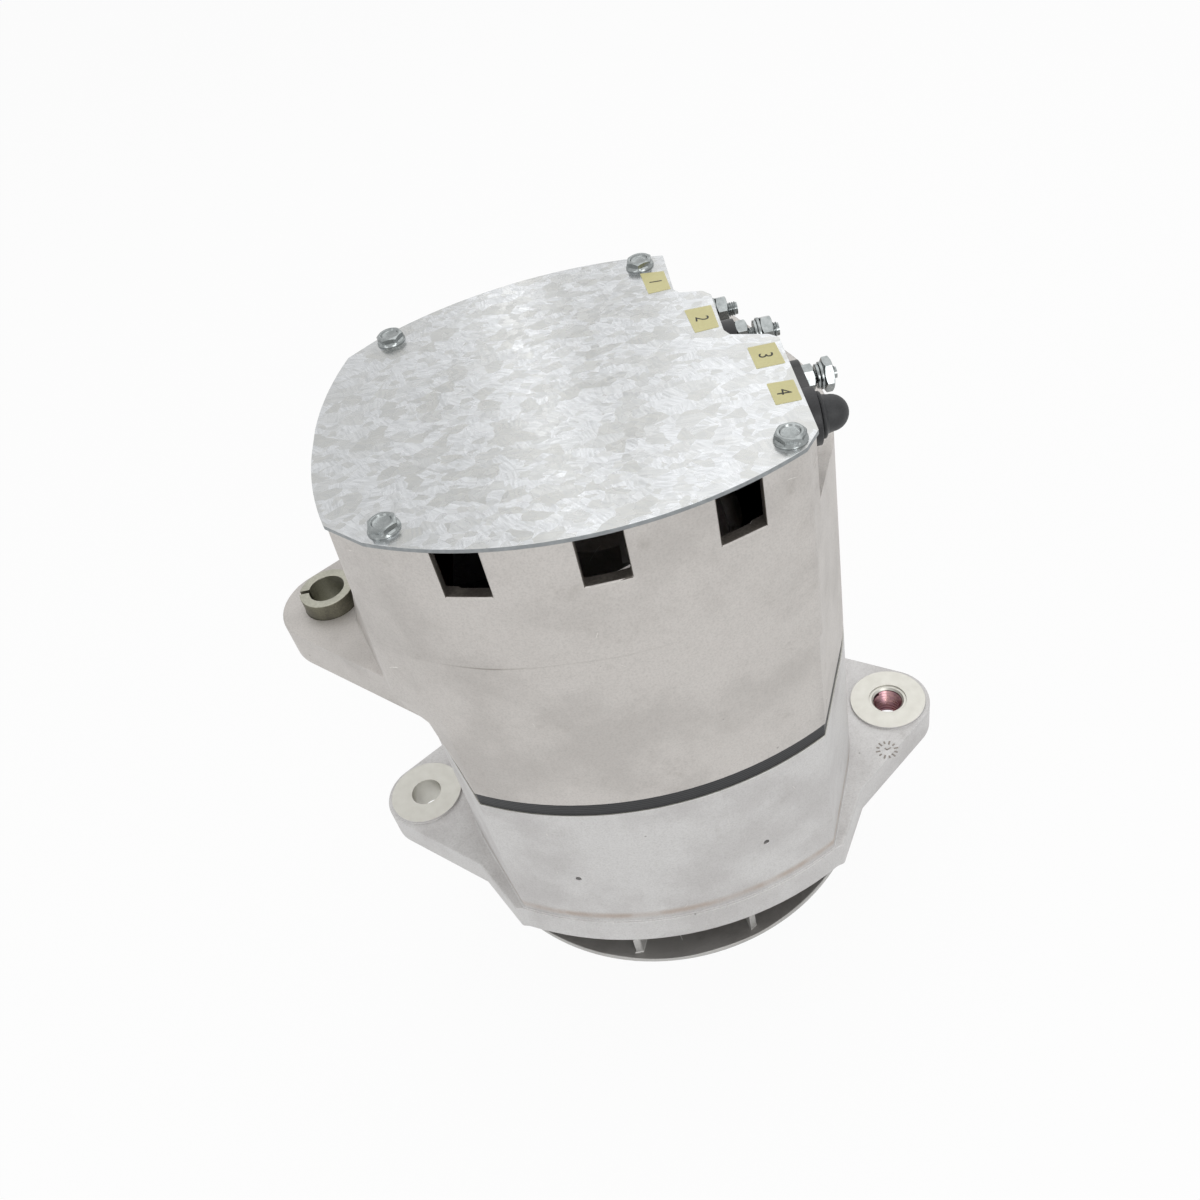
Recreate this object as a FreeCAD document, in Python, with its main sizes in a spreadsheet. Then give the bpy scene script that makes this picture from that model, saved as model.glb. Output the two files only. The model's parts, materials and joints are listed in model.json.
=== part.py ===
import FreeCAD, Part
import math
import os

import Sketcher

# Heavy-duty brushless alternator with a hinge lug and a threaded adjusting ear.
#
# Frame: millimetres. The Z axis is the shaft, +Z points from the pulley end to the rear cover.
# The origin is on the shaft axis, in the plane where the pulley hub seats on the fan hub.
# -X points to the hinge lugs, +X to the adjusting ear and the electrical terminals.

SIZES = [
    # Mounting
    ("lug_face", 31.0, "height of the machined lug faces above the pulley seat"),
    ("hinge_reach", 102.36, "shaft axis to hinge axis, and to the adjusting ear"),
    ("hinge_gap", 101.6, "front lug face to the lower end of the rear bushing"),
    ("hinge_bore", 6.5, "radius of the hinge bolt holes"),
    ("pad_rise", 1.2, "spot-faced pad above the rough lug"),
    ("pad_radius", 15.8, "spot-faced pad"),
    ("lug_tip", 17.5, "tip radius of the front lug and the ear"),
    ("rear_lug_tip", 19.0, "tip radius of the rear lug"),
    ("rear_lug_thick", 15.0, "rear lug"),
    ("rear_lug_drop", 2.9, "lower end of the bushing below the rear lug"),
    ("bushing_radius", 10.0, "outside of the split bushing"),
    ("bushing_length", 24.5, "split bushing"),
    ("bushing_slit", 1.6, "width of its slit"),
    ("insert_radius", 7.8, "steel thread insert of the ear"),
    ("thread_bore", 5.4, "inner radius of the insert"),
    ("lug_front_turn", 50.0, "degrees, where the tip arc leaves for the front flare"),
    ("lug_back_turn", 56.0, "degrees, where the tip arc leaves for the back flare"),
    # Housing outline
    ("corner_x", 62.0, "housing corners from the middle"),
    ("half_depth", 82.4, "middle of the front wall from the axis"),
    ("wall_curve", 125.0, "radius of the bowed walls"),
    ("side_x", 82.8, "round sides from the axis"),
    ("side_turn", 23.0, "degrees, where the straight facets meet the round sides"),
    ("facet_curve", 900.0, "radius of the nearly flat facets of the rear frame"),
    # Housing heights
    ("plate_bottom", 16.0, "drive-end plate above the pulley seat"),
    ("skirt_top", 100.1, "drive-end frame"),
    ("band_height", 6.5, "lamination band that shows between the frames"),
    ("band_inset", 0.6, "lamination band behind the frames' walls"),
    ("rear_height", 118.0, "rear frame"),
    ("ledge_top", 194.0, "ledge under the terminals"),
    ("ledge_thick", 4.0, "roof of the ledge"),
    ("wall", 4.5, "wall of the rear compartment"),
    ("bulkhead_bottom", 150.0, "bearing bulkhead of the rear frame"),
    ("bulkhead_thick", 6.0, "bearing bulkhead"),
    ("flange_out", 1.0, "drive-end plate outside the front wall"),
    ("shoulder_out", 3.0, "drive-end plate outside the side facets"),
    # Cover
    ("cover_thick", 1.5, "galvanised cover sheet"),
    ("cover_overhang", 0.7, "cover past the casting"),
    ("low_step", 40.0, "wall behind the positive stud, from the axis"),
    ("middle_step", 51.3, "wall behind the negative stud, from the axis"),
    ("high_step", 66.5, "wall behind the signal studs, from the axis"),
    ("back_depth", 61.6, "middle of the compartment's back wall from the axis"),
    ("window_width", 13.5, "air windows"),
    ("window_height", 17.6, "air windows, open to the cover"),
    ("window_pitch", 39.35, "air windows"),
    ("window_shift", 2.35, "middle window from the axis"),
    # Stator
    ("stack_radius", 77.0, "lamination stack"),
    ("stack_bottom", 73.0, "lamination stack"),
    ("stack_length", 56.0, "lamination stack"),
    ("stator_bore", 58.0, "lamination stack"),
    ("slot_depth", 12.0, "winding slots"),
    ("slot_width", 5.0, "winding slots"),
    ("slot_count", 36, "winding slots"),
    ("crown_height", 15.5, "end turns past the stack"),
    ("crown_inner", 60.5, "end turns"),
    ("crown_outer", 73.0, "end turns"),
    # Rotor
    ("air_gap", 0.6, "rotor to stator"),
    ("claw_count", 6, "claws of each pole"),
    ("claw_thick", 7.4, "radial depth of a claw"),
    ("pole_thick", 12.0, "pole plates"),
    ("claw_end_gap", 2.0, "claw tips to the other pole's plate"),
    ("rotor_seat", 14.5, "shaft radius under the rotor"),
    ("shaft_shoulder", 15.5, "shaft radius between bearing and rotor"),
    ("pole_bottom", 60.0, "front pole above the pulley seat"),
    ("core_radius", 21.0, "turning core sleeve"),
    ("core_gap", 1.0, "turning parts to the fixed coil support"),
    ("support_wall", 7.0, "tube of the coil support"),
    ("bobbin_wall", 2.0, "field coil bobbin"),
    ("bobbin_radius", 45.0, "field coil bobbin"),
    # Shaft
    ("fan_seat", 12.5, "shaft radius under bearing, spacer and fan"),
    ("pulley_seat", 11.11, "shaft radius under the pulley"),
    ("pulley_seat_length", 34.0, "pulley seat below the fan hub"),
    ("thread_radius", 7.9, "thread at the shaft's end"),
    ("thread_length", 22.0, "thread at the shaft's end"),
    ("rear_seat", 8.5, "shaft radius in the rear bearing"),
    # Bearings
    ("front_bearing_outer", 31.0, "outside radius"),
    ("front_bearing_width", 17.0, "width"),
    ("front_bearing_bottom", 19.0, "seat above the pulley seat"),
    ("front_pitch", 21.75, "ball circle radius"),
    ("front_ball", 4.5, "ball radius"),
    ("rear_bearing_outer", 20.0, "outside radius"),
    ("rear_bearing_width", 12.0, "width"),
    ("rear_bearing_bottom", 152.0, "seat above the pulley seat"),
    ("rear_pitch", 14.25, "ball circle radius"),
    ("rear_ball", 3.4, "ball radius"),
    ("ball_count", 8, "balls in each bearing"),
    # Fan
    ("fan_radius", 86.0, "fan disc"),
    ("fan_hub_height", 14.0, "fan hub"),
    ("fan_hub_radius", 21.0, "fan hub"),
    ("fan_disc_bottom", 2.0, "disc above the pulley seat"),
    ("fan_disc_thick", 2.5, "fan disc"),
    ("blade_count", 11, "fan blades"),
    ("blade_inner", 46.0, "blade root radius"),
    ("blade_outer", 83.0, "blade tip radius"),
    ("blade_thick", 3.0, "blade"),
    ("blade_gap", 2.2, "blade tops to the drive-end plate"),
    # Fasteners
    ("cover_screw", 2.5, "radius of the cover screws"),
    ("cover_screw_length", 14.0, "thread below the cover"),
    ("screw_flats", 8.0, "hexagon of the cover screws"),
    ("screw_head", 3.0, "head height of the cover screws"),
    ("screw_washer", 4.8, "washer face radius of the cover screws"),
    ("washer_face", 1.0, "washer face thickness"),
    ("boss_radius", 5.4, "bosses for the cover screws"),
    ("through_bolt", 2.5, "radius of the through bolts"),
    ("through_bolt_reach", 82.5, "through bolts from the axis"),
    ("through_bolt_flats", 8.0, "hexagon of the through bolts"),
    ("through_bolt_sink", 6.0, "counterbore of the through bolts"),
    ("small_screw", 2.0, "radius of the small screws"),
    ("small_head", 3.5, "head radius of the small screws"),
    ("small_head_height", 2.8, "head height of the small screws"),
    # Terminals
    ("power_stud", 2.45, "radius of the two power studs"),
    ("power_flats", 9.5, "hexagon of their nuts"),
    ("power_nut", 3.9, "thickness of their nuts"),
    ("insulator_flange", 5.5, "insulators outside the wall"),
    ("signal_stud", 2.1, "radius of the two signal studs"),
    ("signal_flats", 9.5, "hexagon of the outer nut and the stud heads"),
    ("signal_base_flats", 7.5, "hexagon of the nuts on the block"),
    ("signal_nut", 3.7, "thickness of the nut on the block"),
    ("signal_outer_nut", 2.9, "thickness of the outer nut"),
    ("washer_thick", 1.0, "washers of the studs"),
    ("positive_y", 38.3, "positive stud"),
    ("positive_drop", 14.2, "positive stud below the cover"),
    ("negative_y", 10.4, "negative stud"),
    ("negative_drop", 8.5, "negative stud below the cover"),
    ("first_signal_y", -18.8, "bare signal stud"),
    ("second_signal_y", -38.5, "capped signal stud"),
    ("signal_drop", 9.6, "both signal studs below the cover"),
    ("block_thick", 4.9, "terminal block"),
    ("block_small", 6.3, "end of the block round the bare stud"),
    ("block_large", 8.8, "end of the block round the capped stud"),
    ("cap_nut", 2.0, "thin nut under the rubber cap"),
    ("cap_radius", 5.9, "rubber cap"),
    ("cap_length", 9.0, "rubber cap"),
    # Compartment
    ("post_height", 20.5, "posts that carry the electrical parts, above the bulkhead"),
    ("post_radius", 4.5, "posts"),
    ("washer_mica", 1.5, "insulating washers on the posts"),
    ("sink_thick", 4.0, "heat sink plates"),
    ("fin_height", 5.0, "heat sink fins"),
    ("fin_thick", 1.5, "heat sink fins"),
    ("diode_radius", 6.4, "press-in diodes"),
    ("diode_height", 9.0, "press-in diodes"),
    ("diode_lead", 1.2, "diode lead radius"),
    ("lead_length", 3.0, "diode leads"),
    ("strap_thick", 1.6, "copper straps"),
    ("strap_width", 5.0, "copper straps"),
    ("regulator_height", 20.0, "potted regulator"),
    ("capacitor_radius", 8.0, "noise capacitor"),
    ("capacitor_length", 30.0, "noise capacitor"),
    # Clearances
    ("press_gap", 0.02, "parts that are pressed or bolted tight"),
    ("slide_gap", 0.03, "split bushing in its lug"),
    ("screw_gap", 0.1, "screws in their holes"),
    ("ball_gap", 0.08, "balls in their grooves"),
    ("free_gap", 0.4, "moving parts beside fixed ones"),
]


class Size:
    """A number together with the sheet expression that gives it."""

    def __init__(self, value, text):
        self.value = float(value)
        self.text = text

    @staticmethod
    def of(other):
        if isinstance(other, Size):
            return other
        return Size(other, repr(other))

    def __add__(self, other):
        other = Size.of(other)
        return Size(self.value + other.value, f"({self.text} + {other.text})")

    def __sub__(self, other):
        other = Size.of(other)
        return Size(self.value - other.value, f"({self.text} - {other.text})")

    def __mul__(self, other):
        other = Size.of(other)
        return Size(self.value * other.value, f"({self.text} * {other.text})")

    def __truediv__(self, other):
        other = Size.of(other)
        return Size(self.value / other.value, f"({self.text} / {other.text})")

    def __radd__(self, other):
        return Size.of(other) + self

    def __rsub__(self, other):
        return Size.of(other) - self

    def __rmul__(self, other):
        return Size.of(other) * self

    def __neg__(self):
        return Size(-self.value, f"(-1 * {self.text})")


def cosine(angle):
    angle = Size.of(angle)
    return Size(math.cos(math.radians(angle.value)), f"cos({angle.text})")


def sine(angle):
    angle = Size.of(angle)
    return Size(math.sin(math.radians(angle.value)), f"sin({angle.text})")


def root(number):
    return Size(math.sqrt(number.value), f"sqrt({number.text})")


document = FreeCAD.newDocument("alternator")
sheet = document.addObject("Spreadsheet::Sheet", "Sizes")


def fill_sheet():
    for row, (alias, value, note) in enumerate(SIZES, start=1):
        sheet.set(f"A{row}", note)
        sheet.set(f"B{row}", str(value))
        sheet.setAlias(f"B{row}", alias)
    document.recompute()


def size(alias):
    """The named size, with its sheet expression."""
    return Size(sheet.get(alias), f"Sizes.{alias}")


def count(alias):
    return int(round(sheet.get(alias)))


def bind(thing, prop, value):
    """Ties one property to a size, or sets a plain number."""
    value = Size.of(value)
    if "Sizes." in value.text:
        thing.setExpression(prop, value.text)
    else:
        setattr(thing, prop, value.value)


pieces = []


def finish(thing, name):
    """Names a finished sub-part and puts it on the list that is written out."""
    thing.Label = name
    pieces.append(thing)
    return thing


# Sketches and features of a turned, cast or cut piece


def new_body(name):
    return document.addObject("PartDesign::Body", name + "_body")


def new_sketch(body, plane, offset=0.0):
    """A sketch on one of the body's own origin planes, moved along that plane's normal."""
    face = [item for item in body.Origin.OriginFeatures if item.Role == plane][0]
    sketch = body.newObject("Sketcher::SketchObject", "Sketch")
    sketch.AttachmentSupport = [(face, "")]
    sketch.MapMode = "FlatFace"
    offset = Size.of(offset)
    sketch.AttachmentOffset = FreeCAD.Placement(FreeCAD.Vector(0, 0, offset.value), FreeCAD.Rotation())
    if "Sizes." in offset.text:
        sketch.setExpression("AttachmentOffset.Base.z", offset.text)
    return sketch


def constrain(sketch, kind, *where, value):
    value = Size.of(value)
    index = sketch.addConstraint(Sketcher.Constraint(kind, *where, value.value))
    if "Sizes." in value.text:
        sketch.setExpression(f"Constraints[{index}]", value.text)


def draw_outline(sketch, corners):
    """A closed outline. Each corner is x, y and the radius of the arc to the next corner.

    The radius is 0 for a straight edge, positive for an edge bowed to the right of its
    direction (outwards on an outline drawn counter-clockwise), negative for the other side.
    """
    first = sketch.GeometryCount
    total = len(corners)
    for index, (x, y, bow) in enumerate(corners):
        after = corners[(index + 1) % total]
        start = FreeCAD.Vector(Size.of(x).value, Size.of(y).value, 0)
        end = FreeCAD.Vector(Size.of(after[0]).value, Size.of(after[1]).value, 0)
        radius = Size.of(bow).value
        if radius == 0:
            sketch.addGeometry(Part.LineSegment(start, end), False)
            continue
        chord = end - start
        right = FreeCAD.Vector(chord.y, -chord.x, 0).normalize()
        half = chord.Length / 2
        rise = abs(radius) - math.sqrt(radius * radius - half * half)
        middle = start + chord * 0.5 + right * math.copysign(rise, radius)
        if radius < 0:
            start, end = end, start
        sketch.addGeometry(Part.Arc(start, middle, end), False)
    ends = [(2, 1) if Size.of(bow).value < 0 else (1, 2) for x, y, bow in corners]
    for index, (x, y, bow) in enumerate(corners):
        following = (index + 1) % total
        here = first + index
        sketch.addConstraint(Sketcher.Constraint(
            "Coincident", here, ends[index][1], first + following, ends[following][0]))
        constrain(sketch, "DistanceX", -1, 1, here, ends[index][0], value=x)
        constrain(sketch, "DistanceY", -1, 1, here, ends[index][0], value=y)
        if Size.of(bow).value != 0:
            radius = Size.of(bow)
            constrain(sketch, "Radius", here, value=radius if radius.value > 0 else -radius)


def draw_circle(sketch, x, y, radius):
    x, y, radius = Size.of(x), Size.of(y), Size.of(radius)
    circle = Part.Circle(FreeCAD.Vector(x.value, y.value, 0), FreeCAD.Vector(0, 0, 1), radius.value)
    index = sketch.addGeometry(circle, False)
    constrain(sketch, "DistanceX", -1, 1, index, 3, value=x)
    constrain(sketch, "DistanceY", -1, 1, index, 3, value=y)
    constrain(sketch, "Radius", index, value=radius)


def rectangle(low_x, low_y, high_x, high_y):
    return [(low_x, low_y, 0), (high_x, low_y, 0), (high_x, high_y, 0), (low_x, high_y, 0)]


def sector(inner, outer, half_angle):
    """A ring sector about the X axis, counter-clockwise."""
    cos_half, sin_half = cosine(half_angle), sine(half_angle)
    return [
        (inner * cos_half, -(inner * sin_half), 0),
        (outer * cos_half, -(outer * sin_half), outer),
        (outer * cos_half, outer * sin_half, 0),
        (inner * cos_half, inner * sin_half, -inner),
    ]


def pad(body, sketch, length):
    feature = body.newObject("PartDesign::Pad", "Pad")
    feature.Profile = sketch
    bind(feature, "Length", length)
    return feature


def pocket(body, sketch, length, along_normal):
    """Cuts along the sketch's normal, or against it."""
    feature = body.newObject("PartDesign::Pocket", "Pocket")
    feature.Profile = sketch
    bind(feature, "Length", length)
    feature.Reversed = along_normal
    return feature


def turn(body, sketch, kind="PartDesign::Revolution"):
    """Revolves or grooves a sketch of the XZ plane about the shaft axis."""
    feature = body.newObject(kind, "Turn")
    feature.Profile = sketch
    feature.ReferenceAxis = (sketch, ["V_Axis"])
    feature.Angle = 360.0
    return feature


def repeat(body, feature, sketch, copies):
    """Repeats a feature round the shaft axis."""
    pattern = body.newObject("PartDesign::PolarPattern", "Repeat")
    pattern.Originals = [feature]
    pattern.Axis = (sketch, ["N_Axis"])
    pattern.Angle = 360.0
    if isinstance(copies, Size):
        pattern.setExpression("Occurrences", copies.text)
    else:
        pattern.Occurrences = copies
    body.Tip = pattern
    return pattern


def turned_piece(name, profile):
    """A lathe part from one closed profile of radius and height."""
    body = new_body(name)
    sketch = new_sketch(body, "XZ_Plane")
    draw_outline(sketch, [(radius, height, 0) for radius, height in profile])
    turn(body, sketch)
    return finish(body, name)


# Simple solids for fasteners and small parts


def place(thing, at, along):
    """Puts a primitive at a point, with its own axis along z or x."""
    rotation = FreeCAD.Rotation()
    if along == "x":
        rotation = FreeCAD.Rotation(FreeCAD.Vector(0, 1, 0), 90)
    base = [Size.of(value) for value in at]
    thing.Placement = FreeCAD.Placement(FreeCAD.Vector(*[value.value for value in base]), rotation)
    for axis, value in zip("xyz", base):
        if "Sizes." in value.text:
            thing.setExpression(f"Placement.Base.{axis}", value.text)
    return thing


def cylinder(radius, length, at, along="z"):
    solid = document.addObject("Part::Cylinder", "Cylinder")
    bind(solid, "Radius", radius)
    bind(solid, "Height", length)
    return place(solid, at, along)


def hexagon(flats, length, at, along="z"):
    solid = document.addObject("Part::Prism", "Hexagon")
    solid.Polygon = 6
    bind(solid, "Circumradius", Size.of(flats) / math.sqrt(3))
    bind(solid, "Height", length)
    return place(solid, at, along)


def box(low, high):
    low = [Size.of(value) for value in low]
    high = [Size.of(value) for value in high]
    solid = document.addObject("Part::Box", "Box")
    for prop, lower, upper in zip(("Length", "Width", "Height"), low, high):
        bind(solid, prop, upper - lower)
    return place(solid, low, "z")


def ball(radius, at, along="z", lowest=-90.0):
    """A ball, or with lowest at 0 the half of it that faces along its axis."""
    solid = document.addObject("Part::Sphere", "Ball")
    bind(solid, "Radius", radius)
    solid.Angle1 = lowest
    return place(solid, at, along)


def cut(base, tool):
    result = document.addObject("Part::Cut", "Cut")
    result.Base = base
    result.Tool = tool
    return result


def join(*solids):
    result = document.addObject("Part::MultiFuse", "Join")
    result.Shapes = list(solids)
    return result


def group(name, solids):
    """Separate solids that share one node."""
    result = document.addObject("Part::Compound", name + "_group")
    result.Links = list(solids)
    return finish(result, name)


def tube(outer, inner, length, at, along="z"):
    return cut(cylinder(outer, length, at, along), cylinder(inner, length, at, along))


def around(radius, index, total, start=0.0):
    """A point on a circle about the shaft axis."""
    angle = start + 360.0 * index / total
    return radius * cosine(angle), radius * sine(angle)


fill_sheet()

# Heights and places that several pieces share

LUG_FACE = size("lug_face")
HINGE_REACH = size("hinge_reach")
PLATE_BOTTOM = size("plate_bottom")
PLATE_TOP = LUG_FACE - size("pad_rise")
SKIRT_TOP = size("skirt_top")
REAR_BOTTOM = SKIRT_TOP + size("band_height")
REAR_TOP = REAR_BOTTOM + size("rear_height")
COVER_TOP = REAR_TOP + size("cover_thick")
BULKHEAD_BOTTOM = size("bulkhead_bottom")
BULKHEAD_TOP = BULKHEAD_BOTTOM + size("bulkhead_thick")
BUSHING_BOTTOM = LUG_FACE + size("hinge_gap")
REAR_LUG_BOTTOM = BUSHING_BOTTOM + size("rear_lug_drop")
REAR_LUG_TOP = REAR_LUG_BOTTOM + size("rear_lug_thick")
LEDGE_TOP = size("ledge_top")
STACK_BOTTOM = size("stack_bottom")
STACK_TOP = STACK_BOTTOM + size("stack_length")
POLE_BOTTOM = size("pole_bottom")
CORE_BOTTOM = POLE_BOTTOM + size("pole_thick")
REAR_POLE_BOTTOM = STACK_TOP
REAR_POLE_TOP = REAR_POLE_BOTTOM + size("pole_thick")
ROTOR_RADIUS = size("stator_bore") - size("air_gap")
FRONT_BEARING_BOTTOM = size("front_bearing_bottom")
FRONT_BEARING_TOP = FRONT_BEARING_BOTTOM + size("front_bearing_width")
REAR_BEARING_BOTTOM = size("rear_bearing_bottom")
REAR_BEARING_TOP = REAR_BEARING_BOTTOM + size("rear_bearing_width")
POST_TOP = BULKHEAD_TOP + size("post_height")
SINK_BOTTOM = POST_TOP + size("washer_mica")
SINK_TOP = SINK_BOTTOM + size("sink_thick")

POSITIVE_HEIGHT = REAR_TOP - size("positive_drop")
NEGATIVE_HEIGHT = REAR_TOP - size("negative_drop")
SIGNAL_HEIGHT = REAR_TOP - size("signal_drop")

# Places of the cover screws, the through bolts and the posts
COVER_SCREWS = [(-56.0, -62.5), (59.0, -61.5), (32.0, 53.0), (-57.0, 39.5)]
THROUGH_BOLT_TURN = 46.7
POSITIVE_POSTS = [(34.0, -28.0), (34.0, 8.0)]
NEGATIVE_POSTS = [(-42.0, 20.0), (-20.0, 26.0)]
REGULATOR_POSTS = [(-40.0, -34.0), (-14.0, -58.0)]
CAPACITOR_POST = (0.0, 42.0)
POSTS = POSITIVE_POSTS + NEGATIVE_POSTS + REGULATOR_POSTS + [CAPACITOR_POST]
POSITIVE_DIODES = [(21.0, -36.0), (21.0, -11.0), (21.0, 12.0)]
NEGATIVE_DIODES = [(-54.0, 8.0), (-32.0, 4.0), (-10.0, 8.0)]


def bowed_y(x, depth, radius):
    """Height of a bowed wall's arc at x, as a distance from the axis."""
    return depth - radius + root(radius * radius - Size.of(x) * x)


def through_bolt_places():
    reach = size("through_bolt_reach")
    along, across = reach * cosine(THROUGH_BOLT_TURN), reach * sine(THROUGH_BOLT_TURN)
    return [(along, across), (-along, across), (-along, -across), (along, -across)]


def housing_outline(inset=0.0):
    """The squarish outline at the stator, counter-clockwise from the front left corner."""
    inset = Size.of(inset)
    corner = size("corner_x") - inset * 0.55
    curve = size("wall_curve") - inset
    wall_y = bowed_y(corner, size("half_depth") - inset, curve)
    side = size("side_x") - inset
    side_x = side * cosine(size("side_turn"))
    side_y = side * sine(size("side_turn"))
    return [
        (-corner, -wall_y, curve),
        (corner, -wall_y, 0),
        (side_x, -side_y, side),
        (side_x, side_y, 0),
        (corner, wall_y, curve),
        (-corner, wall_y, 0),
        (-side_x, side_y, side),
        (-side_x, -side_y, 0),
    ]


def drive_end_outline():
    """The drive-end plate with its hinge lug at -X and its adjusting ear at +X."""
    out = size("flange_out")
    corner = size("corner_x") + out
    wall_y = bowed_y(corner, size("half_depth") + out, size("wall_curve") + out)
    shoulder_x = corner + size("shoulder_out") * 0.9
    shoulder_y = wall_y - size("shoulder_out") * 0.2
    tip = size("lug_tip")
    front_x = HINGE_REACH + tip * sine(90 - size("lug_front_turn"))
    front_y = tip * sine(size("lug_front_turn"))
    back_x = HINGE_REACH + tip * cosine(size("lug_back_turn"))
    back_y = tip * sine(size("lug_back_turn"))
    flare_front = (size("side_x") - 3.2, Size.of(42.0))
    flare_back = (size("side_x") - 0.3, Size.of(35.0))
    return [
        (-corner, -wall_y, size("wall_curve") + out),
        (corner, -wall_y, 0),
        (shoulder_x, -shoulder_y, 0),
        (flare_front[0], -flare_front[1], 0),
        (front_x, -front_y, tip),
        (back_x, back_y, 0),
        (flare_back[0], flare_back[1], 0),
        (shoulder_x, shoulder_y, 0),
        (corner, wall_y, size("wall_curve") + out),
        (-corner, wall_y, 0),
        (-shoulder_x, shoulder_y, 0),
        (-flare_back[0], flare_back[1], 0),
        (-back_x, back_y, tip),
        (-front_x, -front_y, 0),
        (-flare_front[0], -flare_front[1], 0),
        (-shoulder_x, -shoulder_y, 0),
    ]


def drive_end_frame():
    """Cast drive-end frame: plate with lug and ear, skirt, bearing hub and air outlets."""
    body = new_body("drive_end_frame")
    plate = new_sketch(body, "XY_Plane", PLATE_BOTTOM)
    draw_outline(plate, drive_end_outline())
    pad(body, plate, PLATE_TOP - PLATE_BOTTOM)
    skirt = new_sketch(body, "XY_Plane", PLATE_TOP)
    draw_outline(skirt, housing_outline())
    pad(body, skirt, SKIRT_TOP - PLATE_TOP)
    pads = new_sketch(body, "XY_Plane", PLATE_TOP)
    for side in (-HINGE_REACH, HINGE_REACH):
        draw_circle(pads, side, 0, size("pad_radius"))
    pad(body, pads, size("pad_rise"))

    hub_radius = size("front_bearing_outer") + 12.0
    seat = size("front_bearing_outer")
    lip = seat - 7.0
    floor = PLATE_TOP - 2.8
    cavity = size("stack_radius") - 3.0
    register = size("stack_radius") + size("press_gap")
    inside = new_sketch(body, "XZ_Plane")
    draw_outline(inside, [(radius, height, 0) for radius, height in [
        (0, PLATE_BOTTOM - 1.0),
        (lip, PLATE_BOTTOM - 1.0),
        (lip, FRONT_BEARING_BOTTOM),
        (seat, FRONT_BEARING_BOTTOM),
        (seat, FRONT_BEARING_TOP),
        (hub_radius, FRONT_BEARING_TOP),
        (hub_radius, floor),
        (cavity, floor),
        (cavity, STACK_BOTTOM),
        (register, STACK_BOTTOM),
        (register, SKIRT_TOP + 1.0),
        (0, SKIRT_TOP + 1.0),
    ]])
    turn(body, inside, "PartDesign::Groove")

    outlet = new_sketch(body, "XY_Plane", PLATE_BOTTOM - 1.0)
    draw_outline(outlet, sector(hub_radius + 3.0, cavity - 3.0, 16.0))
    opening = pocket(body, outlet, PLATE_TOP - PLATE_BOTTOM + 2.0, True)
    repeat(body, opening, outlet, 8)

    holes = new_sketch(body, "XY_Plane", PLATE_BOTTOM - 1.0)
    draw_circle(holes, -HINGE_REACH, 0, size("hinge_bore"))
    draw_circle(holes, HINGE_REACH, 0, size("insert_radius") + size("press_gap"))
    for x, y in through_bolt_places():
        draw_circle(holes, x, y, size("through_bolt") + size("screw_gap"))
    pocket(body, holes, SKIRT_TOP, True)
    sinks = new_sketch(body, "XY_Plane", PLATE_BOTTOM - 1.0)
    for x, y in through_bolt_places():
        draw_circle(sinks, x, y, size("through_bolt_flats") / 2 + 1.2)
    pocket(body, sinks, size("through_bolt_sink") + 1.0, True)

    threads = new_sketch(body, "XY_Plane", FRONT_BEARING_TOP + 1.0)
    for index in range(4):
        x, y = around(seat + 6.0, index, 4, 45.0)
        draw_circle(threads, x, y, size("small_screw") + size("screw_gap"))
    pocket(body, threads, 10.0, False)

    drains = new_sketch(body, "XZ_Plane", cavity - 10.0)
    for side in (-35.2, 35.2):
        draw_circle(drains, side, LUG_FACE + 28.7, 1.1)
    pocket(body, drains, size("half_depth"), True)
    return finish(body, "drive_end_frame")


def rear_section(corner, side, back):
    """The rear frame's outline at one height, whose left side swells towards the rear lug.

    corner, side and back are the left side's front corner, middle and back corner.
    """
    return housing_outline()[:6] + [
        (back[0], back[1], size("facet_curve")),
        (side[0], side[1] + 4.0, 0),
        (side[0], side[1] - 4.0, size("facet_curve")),
        (corner[0], corner[1], 0),
    ]


def loft(body, outlines):
    """A ruled casting wall through outlines at rising heights."""
    sketches = []
    for height, outline in outlines:
        sketch = new_sketch(body, "XY_Plane", height)
        draw_outline(sketch, outline)
        sketches.append(sketch)
    feature = body.newObject("PartDesign::AdditiveLoft", "Loft")
    feature.Profile = sketches[0]
    feature.Sections = sketches[1:]
    feature.Ruled = True
    feature.Closed = False
    return feature


def compartment_outline(inset, corner, side, back, bow):
    """The compartment's stepped outline, counter-clockwise from the front left corner.

    The three steps at the right carry the terminals. inset is negative for the cover.
    """
    inset = Size.of(inset)
    front_corner = size("corner_x") - inset * 0.55
    curve = size("wall_curve") - inset
    wall_y = bowed_y(front_corner, size("half_depth") - inset, curve)
    right = size("high_step") - inset
    middle = size("middle_step") - inset
    inner = size("low_step") - inset
    back_depth = size("back_depth") - inset
    return [
        (-front_corner, -wall_y, curve),
        (front_corner, -wall_y, 0),
        (right, -59.5 + inset * 0.5, 0),
        (right, -10.4 - inset * 0.6, 0),
        (right - 2.6, -7.6 - inset * 0.9, 0),
        (middle + 1.4, -3.2 - inset, 0),
        (middle, 0.0 - inset, 0),
        (middle, 23.5 - inset * 0.6, 0),
        (middle - 2.2, 26.6 - inset * 0.9, 0),
        (inner + 1.6, 28.8 - inset, 0),
        (inner, 31.6 - inset, 0),
        (inner, bowed_y(inner - 5.0, back_depth, curve), curve),
        (back[0] + 10.0, bowed_y(Size.of(back[0]) + 5.0, back_depth, curve), 0),
        (back[0], back[1], bow),
        (side[0], side[1] + 4.0, 0),
        (side[0], side[1] - 4.0, bow),
        (corner[0], corner[1], 0),
    ]


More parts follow.
